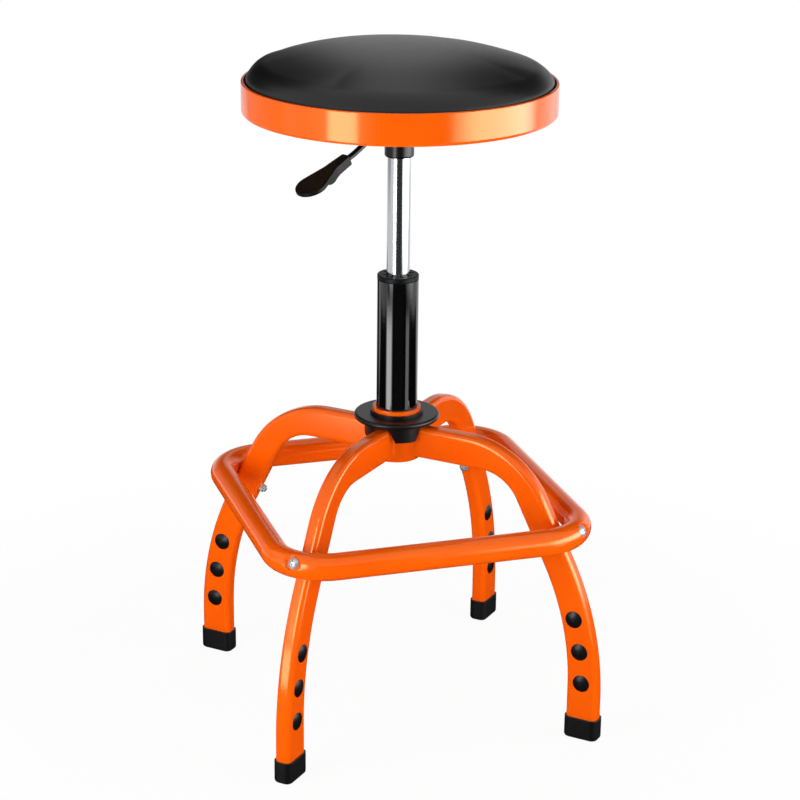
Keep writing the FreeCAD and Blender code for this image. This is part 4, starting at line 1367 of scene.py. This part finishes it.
@dataclass
class Studio:
    """White floor and surroundings, softboxes, flags and the camera.

    Attributes:
        azimuth: Camera's direction round the stool, degrees.
        elevation: Camera's height above level, degrees.
        roll: Turn of the camera about its own line of sight, degrees.
        distance: Camera's distance from its target.
        target: Point that the camera looks at.
        lens_mm: Focal length.
        sensor_mm: Width of the sensor.
        floor_side: Side of the floor.
        floor_glow: Share of the floor that is white in itself, so that the rest can hold the shadow.
        shadow_reach: How far out the floor holds the shadow before it is all white.
        ambient: Light of the surroundings on the stool.
    """

    azimuth: float = -17.45
    elevation: float = 19.34
    roll: float = 0.622
    distance: float = 2.8032
    target: tuple[float, float, float] = (3.72 * MM, -1.17 * MM, 391.03 * MM)
    lens_mm: float = 103.57
    sensor_mm: float = 36.0
    floor_side: float = 14.0
    floor_glow: float = 0.94
    shadow_reach: float = 0.9
    ambient: float = 0.32

    def cards(self) -> list[Card]:
        """Sets out the softboxes and flags round the stool.

        Returns:
            The cards, which are the studio's lamps.
        """
        return [
            # From the left: light for matt surfaces, and what shines in glossy ones.
            Card("key_softbox", -46.0, 1.35, 0.55, 0.95, 1.3, 6.2, sight=Sight.MATT),
            Card("key_glow", -37.0, 0.95, 0.5, 0.42, 0.54, 11.0, feather=0.4, sight=Sight.GLOSS),
            Card("left_kicker", -46.0, 0.95, 0.12, 0.72, 0.28, 8.0, feather=0.6, sight=Sight.GLOSS),
            # The same from the right.
            Card("right_softbox", 68.0, 1.5, 0.5, 1.6, 0.9, 6.0, sight=Sight.MATT),
            Card("right_glow", 72.0, 1.25, 0.5, 2.24, 0.8, 11.0, feather=0.7, sight=Sight.GLOSS),
            Card("right_back_glow", 126.0, 1.3, 0.55, 1.0, 0.5, 1.5, feather=0.5, sight=Sight.GLOSS),
            Card("right_kicker", 57.0, 0.95, 0.12, 0.4, 0.24, 2.2, feather=0.4, sight=Sight.GLOSS),
            # Fill from the front, the back and above.
            Card("front_fill", 4.0, 1.3, 0.2, 1.8, 0.5, 1.6, tip=-12.0, sight=Sight.MATT),
            Card("back_softbox", 172.0, 2.2, 0.9, 2.6, 1.5, 3.0, sight=Sight.MATT),
            Card("top_softbox", 180.0, 0.3, 2.3, 1.6, 1.6, 1.1, tip=90.0),
            # Flags and velvet, which darken what glossy surfaces reflect.
            Card("front_flag", 8.0, 0.95, 0.35, 1.08, 0.9, 0.04, feather=0.38, sight=Sight.GLOSS),
            Card("left_flag", -112.0, 1.6, 0.58, 1.8, 0.8, 0.45, feather=0.3, sight=Sight.GLOSS),
            Card("back_left_flag", -142.0, 1.7, 1.8, 2.5, 3.2, 0.0, feather=0.5, sight=Sight.GLOSS),
            Card("back_right_flag", 142.0, 1.7, 2.1, 2.5, 2.6, 0.0, feather=0.5, sight=Sight.GLOSS),
            Card("back_flag", 180.0, 2.0, 1.5, 2.4, 2.6, 0.72, feather=0.4, sight=Sight.GLOSS),
            Card(
                "floor_velvet", 8.0, 1.18, 0.002, 3.4, 3.86, 0.01,
                tip=-90.0, feather=0.08, sight=Sight.GLOSS,
            ),
            Card(
                "left_velvet", -140.0, 1.3, 0.003, 0.8, 1.6, 0.01,
                tip=-90.0, feather=0.15, sight=Sight.GLOSS,
            ),
        ]

    def towards_camera(self) -> Vector:
        """Level direction from the stool to the camera's side."""
        angle = math.radians(self.azimuth)
        return Vector((math.sin(angle), -math.cos(angle), 0))

    def seen_directly(self, tree: Tree) -> Socket:
        """Tells rays that see the studio from those that only light a surface.

        Args:
            tree: Node tree of the floor or of the world.

        Returns:
            1 for rays from the camera, from glossy surfaces and through glass, else 0.
        """
        rays = add_node(tree, "ShaderNodeLightPath").outputs
        seen = rays["Is Camera Ray"]
        for kind in ("Is Glossy Ray", "Is Transmission Ray"):
            either = add_node(tree, "ShaderNodeMath", {0: seen, 1: rays[kind]}, operation="MAXIMUM")
            seen = either.outputs[0]
        return seen

    def build_floor(self) -> bpy.types.Object:
        """Makes the white floor that keeps the stool's shadow.

        Returns:
            The floor's object.
        """
        floor = sheet_object("floor", self.floor_side, self.floor_side)
        material = empty_material("white floor, matt painted")
        tree = material.node_tree
        place = add_node(tree, "ShaderNodeTexCoord").outputs["Object"]
        reach = add_node(tree, "ShaderNodeVectorMath", {0: place}, operation="LENGTH")
        white_share = add_node(tree, "ShaderNodeMapRange", {
            0: reach.outputs["Value"],
            "From Min": self.shadow_reach / 2,
            "From Max": self.shadow_reach,
            "To Min": self.floor_glow,
            "To Max": 1.0,
        })
        share = add_node(
            tree, "ShaderNodeMath",
            {0: self.seen_directly(tree), 1: white_share.outputs[0]},
            operation="MULTIPLY",
        )
        paint = add_node(tree, "ShaderNodeBsdfDiffuse", {"Color": linear("#f4f4f4")})
        white = add_node(tree, "ShaderNodeEmission")
        both = add_node(
            tree, "ShaderNodeMixShader", {0: share.outputs[0], 1: paint.outputs[0], 2: white.outputs[0]}
        )
        add_node(tree, "ShaderNodeOutputMaterial", {"Surface": both.outputs[0]})
        floor.data.materials.append(material)
        return floor

    def build_world(self) -> None:
        """White surroundings that light the stool softly."""
        world = bpy.data.worlds.new("studio")
        world.use_nodes = True
        tree = world.node_tree
        tree.nodes.clear()
        strength = add_node(
            tree, "ShaderNodeMapRange",
            {0: self.seen_directly(tree), "To Min": self.ambient, "To Max": 1.0},
        )
        light = add_node(
            tree, "ShaderNodeBackground", {"Color": linear("#ffffff"), "Strength": strength.outputs[0]}
        )
        add_node(tree, "ShaderNodeOutputWorld", {"Surface": light.outputs[0]})
        bpy.context.scene.world = world

    def build_camera(self) -> None:
        """Camera at the photograph's place."""
        data = bpy.data.cameras.new("camera")
        data.lens = self.lens_mm
        data.sensor_width = self.sensor_mm
        camera = bpy.data.objects.new("camera", data)
        bpy.context.scene.collection.objects.link(camera)
        rise = math.radians(self.elevation)
        back = self.towards_camera() * math.cos(rise) + Vector((0, 0, math.sin(rise)))
        camera.location = Vector(self.target) + back * self.distance
        camera.rotation_mode = "QUATERNION"
        level = (-back).to_track_quat("-Z", "Y")
        camera.rotation_quaternion = level @ Quaternion((0, 0, 1), math.radians(self.roll))
        bpy.context.scene.camera = camera

    def build(self) -> None:
        """Sets the stage, the lights and the camera."""
        staged = [self.build_floor()]
        for card in self.cards():
            staged.append(card.build(self.towards_camera()))
        self.build_world()
        self.build_camera()
        bpy.context.scene.view_settings.view_transform = "Standard"
        log.info("studio set with %d cards", len(staged) - 1)


def main() -> None:
    """Builds the stool's sub-assemblies in order, then the studio."""
    logging.basicConfig(level=logging.INFO, format="%(name)s: %(message)s")
    wardrobe = Wardrobe()
    for assembly in (LegBase(), GasLift(), ReleaseLever(), PaddedSeat(), StapledHem()):
        assembly.build(wardrobe)
    Studio().build()


if __name__ == "__main__":
    main()
